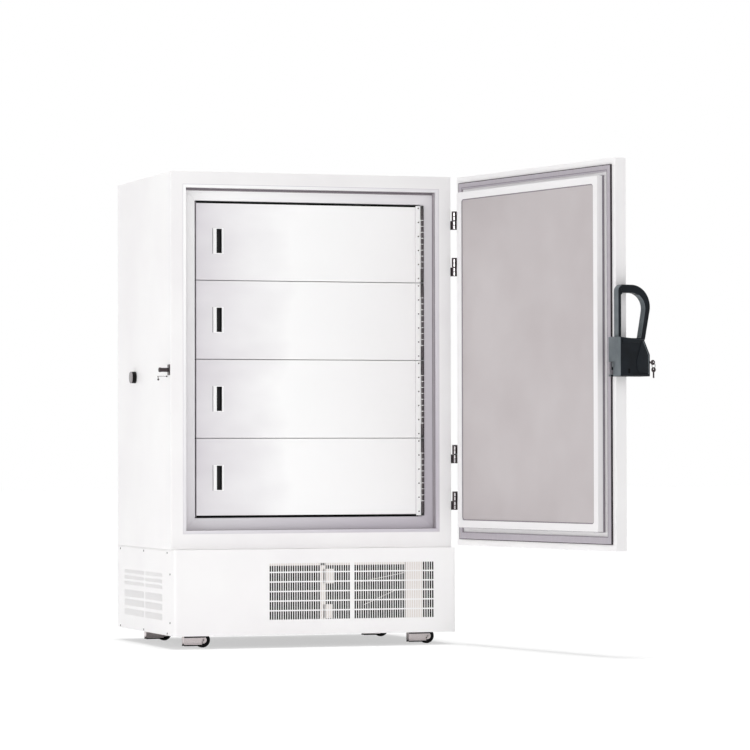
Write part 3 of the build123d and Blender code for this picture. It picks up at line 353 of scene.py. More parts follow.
def turned(bm, profile, centre, axis, steps=48):
    """A solid turned on a lathe: profile points are (along, radius) in metres, closed by the axis."""
    axis = Vector(axis).normalized()
    side = axis.orthogonal().normalized()
    centre = Vector(centre)
    row = [bm.verts.new(centre + axis * along + side * radius) for along, radius in profile]
    edges = [bm.edges.new(pair) for pair in zip(row, row[1:])]
    bmesh.ops.spin(bm, geom=row + edges, cent=centre, axis=axis, angle=2 * math.pi, steps=steps,
                   use_merge=True)
    bmesh.ops.remove_doubles(bm, verts=bm.verts, dist=1e-6)


def rounded(bm, width, segments=2):
    """Every sharp edge in the mesh gets a small round."""
    sharp = [e for e in bm.edges if len(e.link_faces) == 2 and e.calc_face_angle(0) > 0.6]
    bmesh.ops.bevel(bm, geom=sharp, offset=width, segments=segments, profile=0.5, affect="EDGES", material=-1)


def corners(half, low, high, radius, steps=6):
    """Points of a rounded rectangle that is centred on x = 0, as x and z pairs."""
    centres = ((half - radius, high - radius), (radius - half, high - radius),
               (radius - half, low + radius), (half - radius, low + radius))
    points = []
    for number, (x, z) in enumerate(centres):
        for step in range(steps + 1):
            angle = math.radians(90 * (number + step / steps))
            points.append((x + radius * math.cos(angle), z + radius * math.sin(angle)))
    return points


def hoop(bm, half, low, high, radius, width, near, far):
    """A flat rounded ring between two depths behind the cabinet's front, for the shut door."""
    outer = corners(half, low, high, radius)
    inner = corners(half - width, low + width, high - width, max(radius - width, radius / 4))
    rows = [[bm.verts.new((x, FRONT + depth, z)) for x, z in points]
            for points, depth in ((outer, near), (inner, near), (inner, far), (outer, far))]
    count = len(outer)
    for row, following in zip(rows, rows[1:] + rows[:1]):
        for i in range(count):
            bm.faces.new((row[i], row[(i + 1) % count], following[(i + 1) % count], following[i]))


def opened(bm):
    """What was built on the shut outer door is swung to the open pose."""
    bmesh.ops.transform(bm, matrix=swing, verts=bm.verts)


def piece(name, bm, material, body, replaces=(), smooth=35):
    """The mesh as a finished object at the origin, riding on its body."""
    bmesh.ops.recalc_face_normals(bm, faces=bm.faces)
    mesh = bpy.data.meshes.new(name)
    bm.to_mesh(mesh)
    bm.free()
    item = bpy.data.objects.new(name, mesh)
    bpy.context.scene.collection.objects.link(item)
    mesh.materials.append(materials()[material])
    mesh.shade_smooth()
    mesh.set_sharp_from_angle(angle=math.radians(smooth))
    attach(item, body)
    if replaces:
        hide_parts(*replaces)
    return item


def merged(node_name):
    """A copy of a CAD node's mesh with its flat faces whole."""
    bm = bmesh.new()
    bm.from_mesh(frame["nodes"][node_name].data)
    bmesh.ops.remove_doubles(bm, verts=bm.verts, dist=1e-5)
    bmesh.ops.dissolve_limit(bm, angle_limit=math.radians(1), verts=bm.verts, edges=bm.edges)
    return bm


def softened(node_name, bm, width, body, segments=4, angle=40):
    """A handle part shown in its node's place: rounded edges, and a painted sheen, the faces to the left in a
    lighter grey.
    """
    bm.normal_update()
    for face in bm.faces:
        # Faces turned to the left take the lighter nylon: painted sheen
        face.material_index = 1 if face.normal.x < -0.5 else 0
    item = piece(node_name + "_rounded", bm, "nylon", body, (node_name,), smooth=40)
    item.data.materials.append(materials()["nylon_sheen"])
    edge = item.modifiers.new("edge_round", "BEVEL")
    edge.width = width
    edge.segments = segments
    edge.limit_method = "ANGLE"
    edge.angle_limit = math.radians(angle)
    edge.use_clamp_overlap = False
    edge.harden_normals = True
    return item


# Sizes and colours a user would change

class FreezerSizes(PropertyGroup):
    hinge_screw_pitch: FloatProperty(name="Hinge screw pitch", default=59 * MM, unit="LENGTH",
                                     description="Distance between the screws of an inner door's hinge")
    bead_pitch: FloatProperty(name="Hinge bead pitch", default=25 * MM, unit="LENGTH",
                              description="Distance between the knuckles of an inner door's piano hinge")
    rib_pitch: FloatProperty(name="Rib pitch", default=9 * MM, unit="LENGTH",
                             description="Distance between the ribs of the side grilles")
    rib_width: FloatProperty(name="Rib width", default=6 * MM, unit="LENGTH",
                             description="Width of a rib of the side grilles")
    handle_round: FloatProperty(name="Handle edge round", default=5.5 * MM, unit="LENGTH",
                                description="Edge radius of the loop handle")
    panel_sink: FloatProperty(name="Housing panel depth", default=2.4 * MM, unit="LENGTH",
                              description="Depth of the sunk panel on the handle housing's end")
    slot_opening: FloatProperty(name="Slot opening", default=0.8 * MM, unit="LENGTH",
                                description="How far each side of a front slot is moved outwards")
    fin_pitch: FloatProperty(name="Fin pitch", default=4 * MM, unit="LENGTH",
                             description="Distance between the condenser's fins")
    wheel_steps: IntProperty(name="Wheel segments", default=56, min=24,
                             description="Segments round a castor wheel")


class FreezerLook(PropertyGroup):
    coat_light: bpy.props.StringProperty(name="Coat light", default="#f7f6f6",
                                         description="Light tone of the white powder coat")
    coat_shade: bpy.props.StringProperty(name="Coat shade", default="#f2f0f1",
                                         description="Darker tone of the white powder coat")
    # Painted light at the upper left and painted shade at the lower right of the opening frame
    frame_light: bpy.props.StringProperty(name="Frame light", default="#ffffff",
                                          description="Light tone of the opening frame")
    frame_shade: bpy.props.StringProperty(name="Frame shade", default="#cfcad2",
                                          description="Darker tone of the opening frame")
    handle_light: bpy.props.StringProperty(name="Handle light", default="#161b21",
                                           description="Worn tone of the handle")
    handle_shade: bpy.props.StringProperty(name="Handle shade", default="#0b0f13",
                                           description="Base tone of the handle")
    backdrop: FloatVectorProperty(name="Backdrop", subtype="COLOR", size=3, default=(1.0, 1.0, 1.0),
                                  description="Colour behind the object")


# One operator for each piece or group of pieces

NODE_FINISH = {
    "cabinet_shell": "coat", "back_panel": "coat", "front_grille": "coat", "side_cover_left": "coat",
    "side_cover_right": "coat", "rear_grille": "coat", "door_shell": "coat", "door_panel": "blasted",
    "insulation_panels": "foam", "door_core": "foam", "inner_liner": "liner", "shelves": "liner",
    "shelf_brackets": "liner", "breaker_frame": "frame", "door_liner": "door_frame", "door_gasket": "gasket",
    "inner_door_seals": "seal", "inner_hinge_leaves": "enamel", "hinge_cabinet_halves": "gun",
    "hinge_door_halves": "gun", "strike": "gun", "port_plug": "port", "port_disc": "disc",
    "base_frame": "galvanised", "base_floor": "galvanised", "castor_plates": "zinc",
    "compressors": "enamel", "compressor_feet": "rubber", "condenser": "fins", "fan_shroud": "galvanised",
    "fan_motor": "enamel", "fan_rotor": "dark", "refrigerant_pipes": "copper", "control_box": "grey",
    "power_inlet": "dark", "cover_screws": "screw", "control_display": "dark", "handle_housing": "nylon",
    "handle_lever": "nylon", "handle_pins": "gun", "latch_claw": "claw", "lock_cylinder": "gun",
    "key": "gun", "key_ring": "gun",
}


class FREEZER_OT_finishes(Operator):
    """Gives each carried-over node its real finish"""
    bl_idname = "freezer.finishes"
    bl_label = "Node finishes"

    def execute(self, context):
        kit = materials()
        for name, item in frame["nodes"].items():
            finish = NODE_FINISH.get(name)
            if name.startswith("inner_door_pull"):
                finish = "pull"
            elif name.startswith("inner_door_") and name[-1].isdigit():
                finish = "brushed"
            elif name.startswith("castor_fork"):
                finish = "zinc"
            elif name.startswith("castor_wheel"):
                finish = "rubber"
            if finish is None:
                raise RuntimeError(f"no finish for {name}")
            item.data.materials.clear()
            item.data.materials.append(kit[finish])
        return {"FINISHED"}


class FREEZER_OT_handle(Operator):
    """Rounds the loop handle and its housing, and gives the housing's end its sunk panel and wedge"""
    bl_idname = "freezer.handle"
    bl_label = "Handle"

    def execute(self, context):
        softened("handle_lever", self.lever(), sizes().handle_round, "handle")
        softened("handle_housing", self.housing(), 0.8 * MM, "outer_door", 2)
        self.relief()
        return {"FINISHED"}

    def lever(self):
        """The lever with the outer corner next to the door turned round, from a cove to a bow."""
        bm = merged("handle_lever")
        radius = 25 * MM
        back = swing.inverted()
        shut = {vert: back @ vert.co for vert in bm.verts}
        side = max(point.y for point in shut.values())
        top = max(point.z for point in shut.values())
        for vert, point in shut.items():
            away, down = side - point.y, top - point.z
            if abs(math.hypot(away, down) - radius) < 0.5 * MM:
                point.y, point.z = side - radius + down, top - radius + away
                vert.co = swing @ point
        return bm

    def housing(self):
        """The housing with a panel sunk into its end face, and a little air over the strike's plate."""
        bm = merged("handle_housing")
        back = swing.inverted()
        for vert in bm.verts:
            shut = back @ vert.co
            if abs(shut.x + 611.5 * MM) < 0.05 * MM:
                shut.x -= 0.5 * MM
                vert.co = swing @ shut
        bm.normal_update()
        end = swing.to_3x3() @ Vector((-1, 0, 0))
        facing = [face for face in bm.faces if face.normal.dot(end) > 0.99]
        largest = max(facing, key=lambda face: face.calc_area())
        bmesh.ops.inset_region(bm, faces=[largest], thickness=2 * MM, depth=-sizes().panel_sink)
        return bm

    def relief(self):
        """The raised wedge and lid in the sunk panel, and a black patch at its foot, painted shade of a narrow
        slot.
        """
        floor = -696.5 * MM + sizes().panel_sink
        wedge = [(-70, 1234), (-47, 1158), (-49, 1128), (-58, 1112), (-99, 1109), (-99, 1176), (-76, 1233)]
        lid = [(19, 1227), (19, 1240), (-66, 1240), (-68, 1229)]
        bm = bmesh.new()
        for outline in (wedge, lid):
            verts = [bm.verts.new((floor, FRONT + depth * MM, height * MM)) for depth, height in outline]
            face = bm.faces.new(verts)
            grown = bmesh.ops.extrude_face_region(bm, geom=[face])["geom"]
            raised = [item for item in grown if isinstance(item, bmesh.types.BMVert)]
            bmesh.ops.translate(bm, verts=raised, vec=(-sizes().panel_sink + 0.1 * MM, 0, 0))
        rounded(bm, 0.7 * MM, 2)
        opened(bm)
        piece("housing_relief", bm, "nylon_mid", "outer_door")
        # Painted shade: a black patch where the slot's mouth is
        bm = bmesh.new()
        brick(bm, (floor - 0.5 * MM, FRONT - 16 * MM, 1109 * MM), (floor + 0.1 * MM, FRONT - 9 * MM, 1126 * MM))
        opened(bm)
        piece("housing_slot_shade", bm, "seal", "outer_door")


class FREEZER_OT_inner_doors(Operator):
    """Hinge strips with screws on the inner doors, and painted shade: black pockets in their pulls, dark strips at
    the pulls' left edges and along the outer edges of the top and bottom doors
    """
    bl_idname = "freezer.inner_doors"
    bl_label = "Inner door fittings"

    def execute(self, context):
        for number in range(1, 5):
            body = f"inner_door_{number}"
            low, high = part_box(f"inner_door_{number}")
            self.strip(number, body, Vector(low), Vector(high))
            self.beads(number, body, Vector(low), Vector(high))
            self.pocket(number, body)
        self.gap_shadow_strip("top_gap_shadow", "inner_door_1", 1)
        self.gap_shadow_strip("bottom_gap_shadow", "inner_door_4", -1)
        return {"FINISHED"}

    def beads(self, number, body, low, high):
        """The rolled knuckles of the piano hinge: those in the middle turn with the door."""
        axis = joint_at[f"inner_door_{number}_hinge"]
        moving, fixed = bmesh.new(), bmesh.new()
        pitch = sizes().bead_pitch
        count = int((high.z - low.z) / pitch)
        start = (low.z + high.z) / 2 - (count - 1) * pitch / 2
        for step in range(count):
            height = start + step * pitch
            ends = min(height - low.z, high.z - height)
            target = moving if ends > 58 * MM + pitch / 2 else fixed
            tall = pitch / 2 - 0.8 * MM
            profile = [(-tall, 5.5 * MM), (-tall + 1.5 * MM, 5.95 * MM), (tall - 1.5 * MM, 5.95 * MM),
                       (tall, 5.5 * MM)]
            turned(target, profile, (axis.x, axis.y, height), (0, 0, 1), 20)
        piece(f"hinge_beads_{number}", moving, "beads", body)
        piece(f"fixed_hinge_beads_{number}", fixed, "beads", "cabinet")

    def gap_shadow_strip(self, name, node, way):
        """A black strip along the outer edge of the top or the bottom inner door: painted shadow of the gap there.
        """
        low, high = (Vector(corner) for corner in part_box(node))
        edge = high.z if way > 0 else low.z
        face = FRONT + 47 * MM
        bm = bmesh.new()
        z0, z1 = sorted((edge, edge - way * 6.5 * MM))
        brick(bm, (low.x + 0.3 * MM, face - 1.4 * MM, z0), (490 * MM, face + 0.2 * MM, z1))
        rounded(bm, 0.5 * MM, 2)
        piece(name, bm, "seal", node)

    def strip(self, number, body, low, high):
        face = FRONT + 45.8 * MM
        right = 490.5 * MM
        left = right - 22 * MM
        bm = bmesh.new()
        brick(bm, (left, face - 0.4 * MM, low.z + 1 * MM), (right - 0.5 * MM, face, high.z - 1 * MM))
        rounded(bm, 0.15 * MM, 1)
        piece(f"hinge_strip_{number}", bm, "brushed", body)
        bm = bmesh.new()
        brick(bm, (left - 1.6 * MM, face + 0.4 * MM, low.z + 1.5 * MM), (left, face + 1.4 * MM, high.z - 1.5 * MM))
        piece(f"hinge_strip_shadow_gap_{number}", bm, "wall", body)
        bm = bmesh.new()
        height = high.z - 11 * MM
        while height > low.z + 8 * MM:
            turned(bm, [(0, 0), (0, 3.0 * MM), (0.6 * MM, 2.8 * MM), (1.2 * MM, 1.8 * MM), (1.4 * MM, 0)],
                   (right - 9.5 * MM, face - 0.4 * MM, height), (0, -1, 0), 20)
            height -= sizes().hinge_screw_pitch
        piece(f"hinge_screws_{number}", bm, "screw", body)

    def pocket(self, number, body):
        low, high = (Vector(corner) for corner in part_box(f"inner_door_pull_{number}"))
        x0, x1 = low.x + 14.5 * MM, low.x + 37.1 * MM
        z0, z1 = low.z + 3.3 * MM, high.z - 3.3 * MM
        # The pull's slot is lined in black: painted shade of its recess
        bm = bmesh.new()
        front, back = low.y + 1.0 * MM, high.y - 1.4 * MM
        brick(bm, (x0 + 0.2 * MM, front, z0), (x1 - 0.2 * MM, back, z1))
        opening = [f for f in bm.faces if f.normal.y < -0.9]
        bmesh.ops.inset_region(bm, faces=opening, thickness=0.6 * MM)
        bmesh.ops.translate(bm, verts=list({v for f in opening for v in f.verts}),
                            vec=(0, back - front - 1 * MM, 0))
        piece(f"pull_pocket_shade_{number}", bm, "pocket", body)
        # A dark strip along the pull's left edge: painted shadow of the gap there
        bm = bmesh.new()
        brick(bm, (low.x - 3.0 * MM, low.y + 0.8 * MM, low.z + 1 * MM),
              (low.x - 0.2 * MM, low.y + 1.9 * MM, high.z - 1 * MM))
        rounded(bm, 0.3 * MM, 1)
        piece(f"pull_shadow_edge_{number}", bm, "lip", body)


class FREEZER_OT_recess_trim(Operator):
    """Painted shade in the opening's recess: a dark bead along its top, a darker lining with ribs on its walls,
    and a pale shadow line round the frame
    """
    bl_idname = "freezer.recess_trim"
    bl_label = "Recess trim"

    def execute(self, context):
        half, low, high, deep = 543 * MM, 483.5 * MM, 1893.5 * MM, 48.8 * MM
        bm = bmesh.new()
        rod(bm, (-half + 3 * MM, FRONT + deep, high - 5 * MM), (half - 3 * MM, FRONT + deep, high - 5 * MM),
            4.6 * MM, 16)
        for x in (-half + 3 * MM, half - 3 * MM):
            bmesh.ops.create_uvsphere(bm, u_segments=16, v_segments=10, radius=4.6 * MM,
                                      matrix=Matrix.Translation((x, FRONT + deep, high - 5 * MM)))
        bmesh.ops.bisect_plane(bm, geom=bm.verts[:] + bm.edges[:] + bm.faces[:], plane_co=(0, FRONT + deep, 0),
                               plane_no=(0, 1, 0), clear_outer=True)
        piece("recess_shade_bead_top", bm, "bead", "cabinet")
        bm = bmesh.new()
        hoop(bm, half - 0.2 * MM, low + 0.2 * MM, high - 0.2 * MM, 1 * MM, 0.8 * MM, 16 * MM, 48.5 * MM)
        piece("recess_shade_lining", bm, "wall", "cabinet")
        bm = bmesh.new()
        for edge in (14 * MM, 34 * MM):
            hoop(bm, half - 0.2 * MM, low + 0.2 * MM, high - 0.2 * MM, 1 * MM, 1.3 * MM, edge, edge + 10 * MM)
        piece("recess_shade_ribs", bm, "bead", "cabinet")
        bm = bmesh.new()
        hoop(bm, 557.2 * MM, 469.3 * MM, 1907.7 * MM, 1 * MM, 2.2 * MM, -0.12 * MM, 0.5 * MM)
        piece("frame_shadow_line", bm, "line", "cabinet")
        return {"FINISHED"}


class FREEZER_OT_door_trim(Operator):
    """Bellows skirt and lips of the door's gasket, a dark ring of painted shade on the gasket's outer wall, and a
    dark bead of painted shadow round its stainless panel
    """
    bl_idname = "freezer.door_trim"
    bl_label = "Door trim"

    def execute(self, context):
        low, high = 489.5 * MM, 1887.5 * MM
        bm = bmesh.new()
        for number, near in enumerate((-0.3, 4.2)):
            grow = 2.4 if number % 2 == 0 else 1.5
            hoop(bm, (537 + grow) * MM, low - grow * MM, high + grow * MM, 3 * MM, (grow - 0.2) * MM,
                 near * MM, (near + 4.4) * MM)
        opened(bm)
        piece("gasket_skirt", bm, "lip", "outer_door")
        # Painted shade on the gasket's outer wall
        bm = bmesh.new()
        hoop(bm, 583.4 * MM, 439.1 * MM, 1930.4 * MM, 2 * MM, 3 * MM, -7.9 * MM, -0.5 * MM)
        opened(bm)
        piece("gasket_shade_edge", bm, "edge", "outer_door")
        bm = bmesh.new()
        hoop(bm, 559 * MM, 467 * MM, 1911 * MM, 2 * MM, 3.4 * MM, -0.9 * MM, -0.25 * MM)
        opened(bm)
        piece("gasket_lips", bm, "lip", "outer_door")
        # Painted shadow in the gap round the stainless panel
        bm = bmesh.new()
        hoop(bm, 506.9 * MM, 519.6 * MM, 1857.4 * MM, 14 * MM, 4.2 * MM, 27.4 * MM, 29.4 * MM)
        opened(bm)
        piece("panel_bead", bm, "bead", "outer_door")
        return {"FINISHED"}


class FREEZER_OT_outer_hinges(Operator):
    """Painted highlights: bright metal strips along the dark barrels of the outer hinges"""
    bl_idname = "freezer.outer_hinges"
    bl_label = "Outer hinges"

    def execute(self, context):
        axis = hinge_line
        toward = Vector((-0.36, -0.93, 0)).normalized()
        across = Vector((-toward.y, toward.x, 0))
        for name, body, lifts in (("cabinet", "cabinet", (-27, -10)), ("door", "outer_door", (10, 27))):
            bm = bmesh.new()
            for height in (598, 793.5, 1579, 1774.5):
                for lift in lifts:
                    middle = axis + toward * 11.05 * MM + Vector((0, 0, (height + lift) * MM))
                    run = brick(bm, (-2.2 * MM, -0.4 * MM, -7 * MM), (2.2 * MM, 0.4 * MM, 7 * MM))
                    turn = Matrix((across, -toward, Vector((0, 0, 1)))).transposed().to_4x4()
                    bmesh.ops.transform(bm, matrix=Matrix.Translation(middle) @ turn, verts=run)
            piece(f"hinge_highlight_strips_{name}", bm, "highlight_metal", body)
        return {"FINISHED"}


class FREEZER_OT_front_panel(Operator):
    """The base's slotted front panel, its slots opened to the width that the photograph shows"""
    bl_idname = "freezer.front_panel"
    bl_label = "Front panel"

    def execute(self, context):
        bm = bmesh.new()
        bm.from_mesh(frame["nodes"]["front_grille"].data)
        bmesh.ops.remove_doubles(bm, verts=bm.verts, dist=1e-6)
        pitch, width, length = 10 * MM, 5 * MM, 345 * MM
        for vert in bm.verts:
            for start in (-201.5 * MM, 165.5 * MM):
                along = vert.co.x - start
                if -0.1 * MM < along < length + 0.1 * MM and 0.11 < vert.co.z < 0.352:
                    phase = (along + 0.1 * MM) % pitch
                    vert.co.x += sizes().slot_opening * (-1 if phase < width / 2 else 1)
        piece("front_panel_slotted", bm, "coat", "cabinet", ("front_grille",), smooth=1)
        return {"FINISHED"}


class FREEZER_OT_front_filter(Operator):
    """Black filter mat behind the slots of the base's front panel, and the pale plates and stays before it"""
    bl_idname = "freezer.front_filter"
    bl_label = "Front filter"

    def execute(self, context):
        bm = bmesh.new()
        near, far = FRONT - 46 * MM, FRONT - 42 * MM
        left, right = -214 * MM, 526 * MM
        brick(bm, (left, near, 104 * MM), (right, far, 356 * MM))
        piece("front_filter", bm, "filter", "cabinet")
        bm = bmesh.new()
        back, fore = FRONT - 46.2 * MM, FRONT - 48.4 * MM
        for x0, x1, z0, z1 in ((17, 40, 106, 352), (30, 74, 262, 322), (30, 70, 118, 176), (388, 462, 106, 352),
                               (-206, 386, 337, 353)):
            brick(bm, (x0 * MM, fore, z0 * MM), (x1 * MM, back, z1 * MM))
        for x0, z0, x1, z1 in ((192, 267, 383, 302), (208, 172, 349, 232)):
            rod(bm, (x0 * MM, back - 1.1 * MM, z0 * MM), (x1 * MM, back - 1.1 * MM, z1 * MM), 1.1 * MM, 12)
        piece("front_stays", bm, "plant", "cabinet")
        bm = bmesh.new()
        for sign in (-1, 1):
            x0, x1 = sorted((sign * 606.4 * MM, sign * 607.9 * MM))
            brick(bm, (x0, FRONT + 1 * MM, 400.5 * MM), (x1, FRONT + 876 * MM, 404.5 * MM))
        piece("cover_seam_strips", bm, "coat", "cabinet")
        return {"FINISHED"}


class FREEZER_OT_side_grilles(Operator):
    """Upright ribs that divide the long slots of the side covers into fine ones"""
    bl_idname = "freezer.side_grilles"
    bl_label = "Side grilles"

    def execute(self, context):
        rows = ((112, 27), (152, 28), (190, 30), (241, 15), (265, 15), (290, 16))
        for side, sign in (("left", -1), ("right", 1)):
            bm = bmesh.new()
            outer = sign * 608.3 * MM
            inner = sign * 607.5 * MM
            for near, far in ((138, 414), (434, 767)):
                depth = near * MM + 3 * MM
                while depth < far * MM:
                    end = min(depth + sizes().rib_width, far * MM)
                    for low, tall in rows:
                        brick(bm, (min(outer, inner), FRONT + depth, (low - 0.5) * MM),
                              (max(outer, inner), FRONT + end, (low + tall + 0.5) * MM))
                    depth += sizes().rib_pitch
            piece(f"side_ribs_{side}", bm, "coat", "cabinet")
        return {"FINISHED"}


class FREEZER_OT_screws(Operator):
    """Pan-head screws on the side covers"""
    bl_idname = "freezer.screws"
    bl_label = "Cover screws"

    def execute(self, context):
        spots = ((59, 61), (439, 61), (833, 61), (59, 392), (439, 392), (833, 392), (14, 106), (14, 305))
        for side, sign in (("left", -1), ("right", 1)):
            bm = bmesh.new()
            for depth, height in spots:
                turned(bm, [(0, 0), (0, 4.5 * MM), (0.7 * MM, 4.3 * MM), (1.4 * MM, 3.1 * MM), (1.8 * MM, 0)],
                       (sign * 608.5 * MM, FRONT + depth * MM, height * MM), (sign, 0, 0), 24)
            replaced = ("cover_screws",) if sign < 0 else ()
            piece(f"cover_screws_{side}", bm, "screw", "cabinet", replaced)
        return {"FINISHED"}


class FREEZER_OT_castors(Operator):
    """Castor wheels with rounded treads, hubs and axle nuts, and dark strips of painted shade on the fork cheeks
    """
    bl_idname = "freezer.castors"
    bl_label = "Castors"

    def execute(self, context):
        for name in ("front_left", "front_right", "rear_left", "rear_right"):
            centre = joint_at[f"roll_{name}"]
            bm = bmesh.new()
            tread = [(-12, 4.2), (-12, 13), (-9.5, 14), (-9.5, 20), (-12, 22), (-12, 27), (-9.5, 30.4),
                     (-5, 31.4), (5, 31.4), (9.5, 30.4), (12, 27), (12, 22), (9.5, 20), (9.5, 14),
                     (12, 13), (12, 4.2), (-12, 4.2)]
            turned(bm, [(a * MM, r * MM) for a, r in tread], centre, (0, 1, 0), sizes().wheel_steps)
            piece(f"tyre_{name}", bm, "rubber", f"wheel_{name}", (f"castor_wheel_{name}",))
            bolt = centre + Vector((-5 * MM, 0, -8 * MM))
            dark, pale = bmesh.new(), bmesh.new()
            for way in (-1, 1):
                turned(dark, [(way * 16.9 * MM, 0), (way * 16.9 * MM, 2.8 * MM), (way * 18.2 * MM, 2.5 * MM),
                              (way * 18.8 * MM, 0)], bolt, (0, 1, 0), 20)
                turned(pale, [(way * 16.4 * MM, 0), (way * 16.4 * MM, 5.6 * MM), (way * 17.2 * MM, 5.2 * MM),
                              (way * 17.2 * MM, 0)], bolt, (0, 1, 0), 24)
                face = centre.y + way * 16.5 * MM
                # Dark strips along the top and bottom of each fork cheek: painted shade
                for low, high, end in ((41.5, 50.6, 6), (7.5, 12.4, -10)):
                    y0, y1 = sorted((face - way * 1.5 * MM, face + way * 0.5 * MM))
                    brick(dark, (centre.x - 82.5 * MM, y0, low * MM), (centre.x + end * MM, y1, high * MM))
                y0, y1 = sorted((face - way * 2.3 * MM, face))
                brick(pale, (centre.x - 82.5 * MM, y0, 12.4 * MM), (centre.x - 6 * MM, y1, 18.5 * MM))
            piece(f"fork_caps_and_shade_{name}", dark, "seal", f"fork_{name}")
            piece(f"fork_skirt_{name}", pale, "zinc", f"fork_{name}")
        return {"FINISHED"}


class FREEZER_OT_strike_pin(Operator):
    """The small ball-ended pin on a thin wire behind and below the strike"""
    bl_idname = "freezer.strike_pin"
    bl_label = "Strike pin"

    def execute(self, context):
        low, high = (Vector(corner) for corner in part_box("strike"))
        bm = bmesh.new()
        root = Vector((high.x, FRONT + 52 * MM, low.z - 4 * MM))
        bend = Vector((low.x + 4 * MM, root.y, root.z))
        tip = bend + Vector((1 * MM, 0, -13 * MM))
        rod(bm, root, bend, 0.9 * MM, 12)
        rod(bm, bend, tip, 1.4 * MM, 12)
        for centre, size in ((root, 3.2 * MM), (bend, 1.5 * MM)):
            bmesh.ops.create_uvsphere(bm, u_segments=16, v_segments=10, radius=size,
                                      matrix=Matrix.Translation(centre + Vector((-size, 0, 0))))
        turned(bm, [(-4.5 * MM, 0), (-3.4 * MM, 3 * MM), (0, 4.4 * MM), (3.4 * MM, 3 * MM), (4.5 * MM, 0)],
               tip, (0, 0, 1), 20)
        piece("strike_pin", bm, "gun", "cabinet")
        return {"FINISHED"}


class FREEZER_OT_plant(Operator):
    """Condenser fins and compressor weld seams in the base"""
    bl_idname = "freezer.plant"
    bl_label = "Refrigeration plant"

    def execute(self, context):
        low, high = (Vector(corner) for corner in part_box("condenser"))
        bm = bmesh.new()
        x = low.x + 4 * MM
        while x < high.x - 4 * MM:
            brick(bm, (x, low.y + 0.6 * MM, low.z + 1 * MM), (x + 0.5 * MM, high.y - 0.6 * MM, high.z - 1 * MM))
            x += sizes().fin_pitch
        piece("condenser_fins", bm, "fins", "cabinet")
        bm = bmesh.new()
        for x in (-0.25, 0.15):
            centre = (x, FRONT + 440 * MM, 0.168)
            turned(bm, [(-3 * MM, 95.2 * MM), (-2 * MM, 98 * MM), (2 * MM, 98 * MM), (3 * MM, 95.2 * MM)],
                   centre, (0, 0, 1), 64)
        piece("compressor_seams", bm, "enamel", "cabinet")
        return {"FINISHED"}


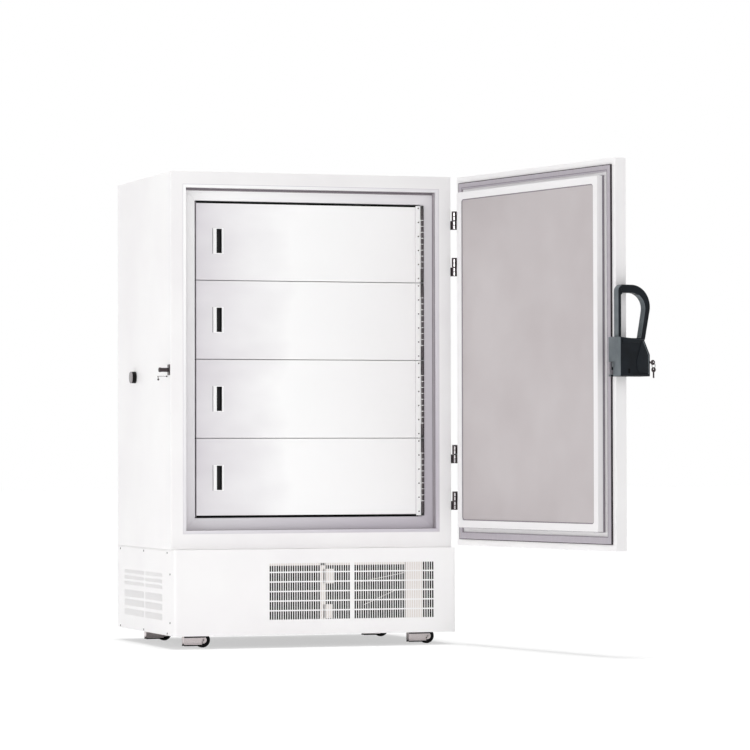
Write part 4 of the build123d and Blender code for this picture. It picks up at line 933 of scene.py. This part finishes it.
class FREEZER_OT_stage(Operator):
    """Floor, lights, world and the camera at the photograph's angle"""
    bl_idname = "freezer.stage"
    bl_label = "Stage and camera"

    def execute(self, context):
        self.floor()
        self.world(context)
        self.lamp("left_softbox", (-6.5, -3.0, 1.6), 3.0, 92)
        self.lamp("front_softbox", (-2.0, -8.5, 3.2), 3.6, 98)
        self.overhead()
        self.camera(context)
        context.scene.view_settings.view_transform = "Standard"
        return {"FINISHED"}

    def floor(self):
        bm = bmesh.new()
        bmesh.ops.create_grid(bm, x_segments=1, y_segments=1, size=60)
        mesh = bpy.data.meshes.new("floor")
        bm.to_mesh(mesh)
        bm.free()
        ground = bpy.data.objects.new("floor", mesh)
        bpy.context.scene.collection.objects.link(ground)
        material, tree, shader = finish_of("white_floor", 0.9, Specular_IOR_Level=0.1)
        grain = speckle(tree, 0.02)
        tint(tree, shader, grain.outputs["Fac"], "#fafafa", "#ffffff")
        path = add(tree, "ShaderNodeLightPath")
        glow = add(tree, "ShaderNodeEmission", {"Color": (1, 1, 1, 1), "Strength": 1.0})
        seen = add(tree, "ShaderNodeMath", {0: path.outputs["Is Camera Ray"], 1: 0.55}, operation="MULTIPLY")
        mixed = add(tree, "ShaderNodeMixShader", {0: seen.outputs[0], 1: shader.outputs["BSDF"],
                                                  2: glow.outputs["Emission"]})
        surface = next(node for node in tree.nodes if node.type == "OUTPUT_MATERIAL")
        tree.links.new(mixed.outputs[0], surface.inputs["Surface"])
        mesh.materials.append(material)

    def world(self, context):
        world = bpy.data.worlds.new("white_room")
        context.scene.world = world
        world.use_nodes = True
        tree = world.node_tree
        tree.nodes.clear()
        path = add(tree, "ShaderNodeLightPath")
        seen = add(tree, "ShaderNodeMath", {0: path.outputs["Is Camera Ray"], 1: path.outputs["Is Glossy Ray"]},
                   operation="MAXIMUM")
        colour = (*look().backdrop, 1.0)
        room = add(tree, "ShaderNodeBackground", {"Color": colour, "Strength": 0.42})
        shown = add(tree, "ShaderNodeBackground", {"Color": colour, "Strength": 1.0})
        mixed = add(tree, "ShaderNodeMixShader", {0: seen.outputs[0], 1: room.outputs[0], 2: shown.outputs[0]})
        add(tree, "ShaderNodeOutputWorld", {"Surface": mixed.outputs[0]})

    def overhead(self):
        data = bpy.data.lights.new("overhead_light", "SUN")
        data.energy = 2.05
        data.angle = math.radians(10)
        item = bpy.data.objects.new("overhead_light", data)
        bpy.context.scene.collection.objects.link(item)
        item.location = (0, 0, 5)

    def lamp(self, name, place, size, power):
        data = bpy.data.lights.new(name, "AREA")
        data.shape = "SQUARE"
        data.size = size
        data.energy = power
        item = bpy.data.objects.new(name, data)
        bpy.context.scene.collection.objects.link(item)
        item.location = place
        aim = Vector((0, -0.2, 1.0)) - Vector(place)
        item.rotation_euler = aim.to_track_quat("-Z", "Y").to_euler()

    def camera(self, context):
        yaw, pitch, roll = (math.radians(angle) for angle in (18.278, 1.2, -0.127))
        ahead = Vector((math.sin(yaw) * math.cos(pitch), math.cos(yaw) * math.cos(pitch), math.sin(pitch)))
        right = Vector((math.cos(yaw), -math.sin(yaw), 0))
        up = right.cross(ahead)
        leaned = right * math.cos(roll) + up * math.sin(roll)
        raised = up * math.cos(roll) - right * math.sin(roll)
        turn = Matrix((leaned, raised, -ahead)).transposed().to_4x4()
        data = bpy.data.cameras.new("photo_camera")
        data.lens = 174.87
        data.sensor_width = 36
        data.clip_end = 200
        item = bpy.data.objects.new("photo_camera", data)
        context.scene.collection.objects.link(item)
        item.matrix_world = Matrix.Translation((-4.4929, -14.8672, 0.8074)) @ turn
        context.scene.camera = item


OPERATORS = (FREEZER_OT_finishes, FREEZER_OT_handle, FREEZER_OT_inner_doors, FREEZER_OT_recess_trim,
             FREEZER_OT_door_trim, FREEZER_OT_outer_hinges, FREEZER_OT_front_panel, FREEZER_OT_front_filter,
             FREEZER_OT_side_grilles, FREEZER_OT_screws, FREEZER_OT_castors, FREEZER_OT_strike_pin,
             FREEZER_OT_plant, FREEZER_OT_stage)


class FREEZER_PT_panel(Panel):
    """Shows the freezer's sizes, colours and operators in the 3D view's sidebar"""
    bl_idname = "FREEZER_PT_panel"
    bl_label = "Laboratory freezer"
    bl_space_type = "VIEW_3D"
    bl_region_type = "UI"
    bl_category = "Freezer"

    def draw(self, context):
        for group in (context.scene.freezer_sizes, context.scene.freezer_look):
            for name in group.bl_rna.properties.keys():
                if name not in ("rna_type", "name"):
                    self.layout.prop(group, name)
        for kind in OPERATORS:
            self.layout.operator(kind.bl_idname)


CLASSES = (FreezerSizes, FreezerLook) + OPERATORS + (FREEZER_PT_panel,)


def register():
    for kind in CLASSES:
        bpy.utils.register_class(kind)
    bpy.types.Scene.freezer_sizes = PointerProperty(type=FreezerSizes)
    bpy.types.Scene.freezer_look = PointerProperty(type=FreezerLook)


def unregister():
    del bpy.types.Scene.freezer_look
    del bpy.types.Scene.freezer_sizes
    for kind in reversed(CLASSES):
        bpy.utils.unregister_class(kind)


def main():
    register()
    for kind in OPERATORS:
        group, name = kind.bl_idname.split(".")
        getattr(getattr(bpy.ops, group), name)()


if __name__ == "__main__":
    main()
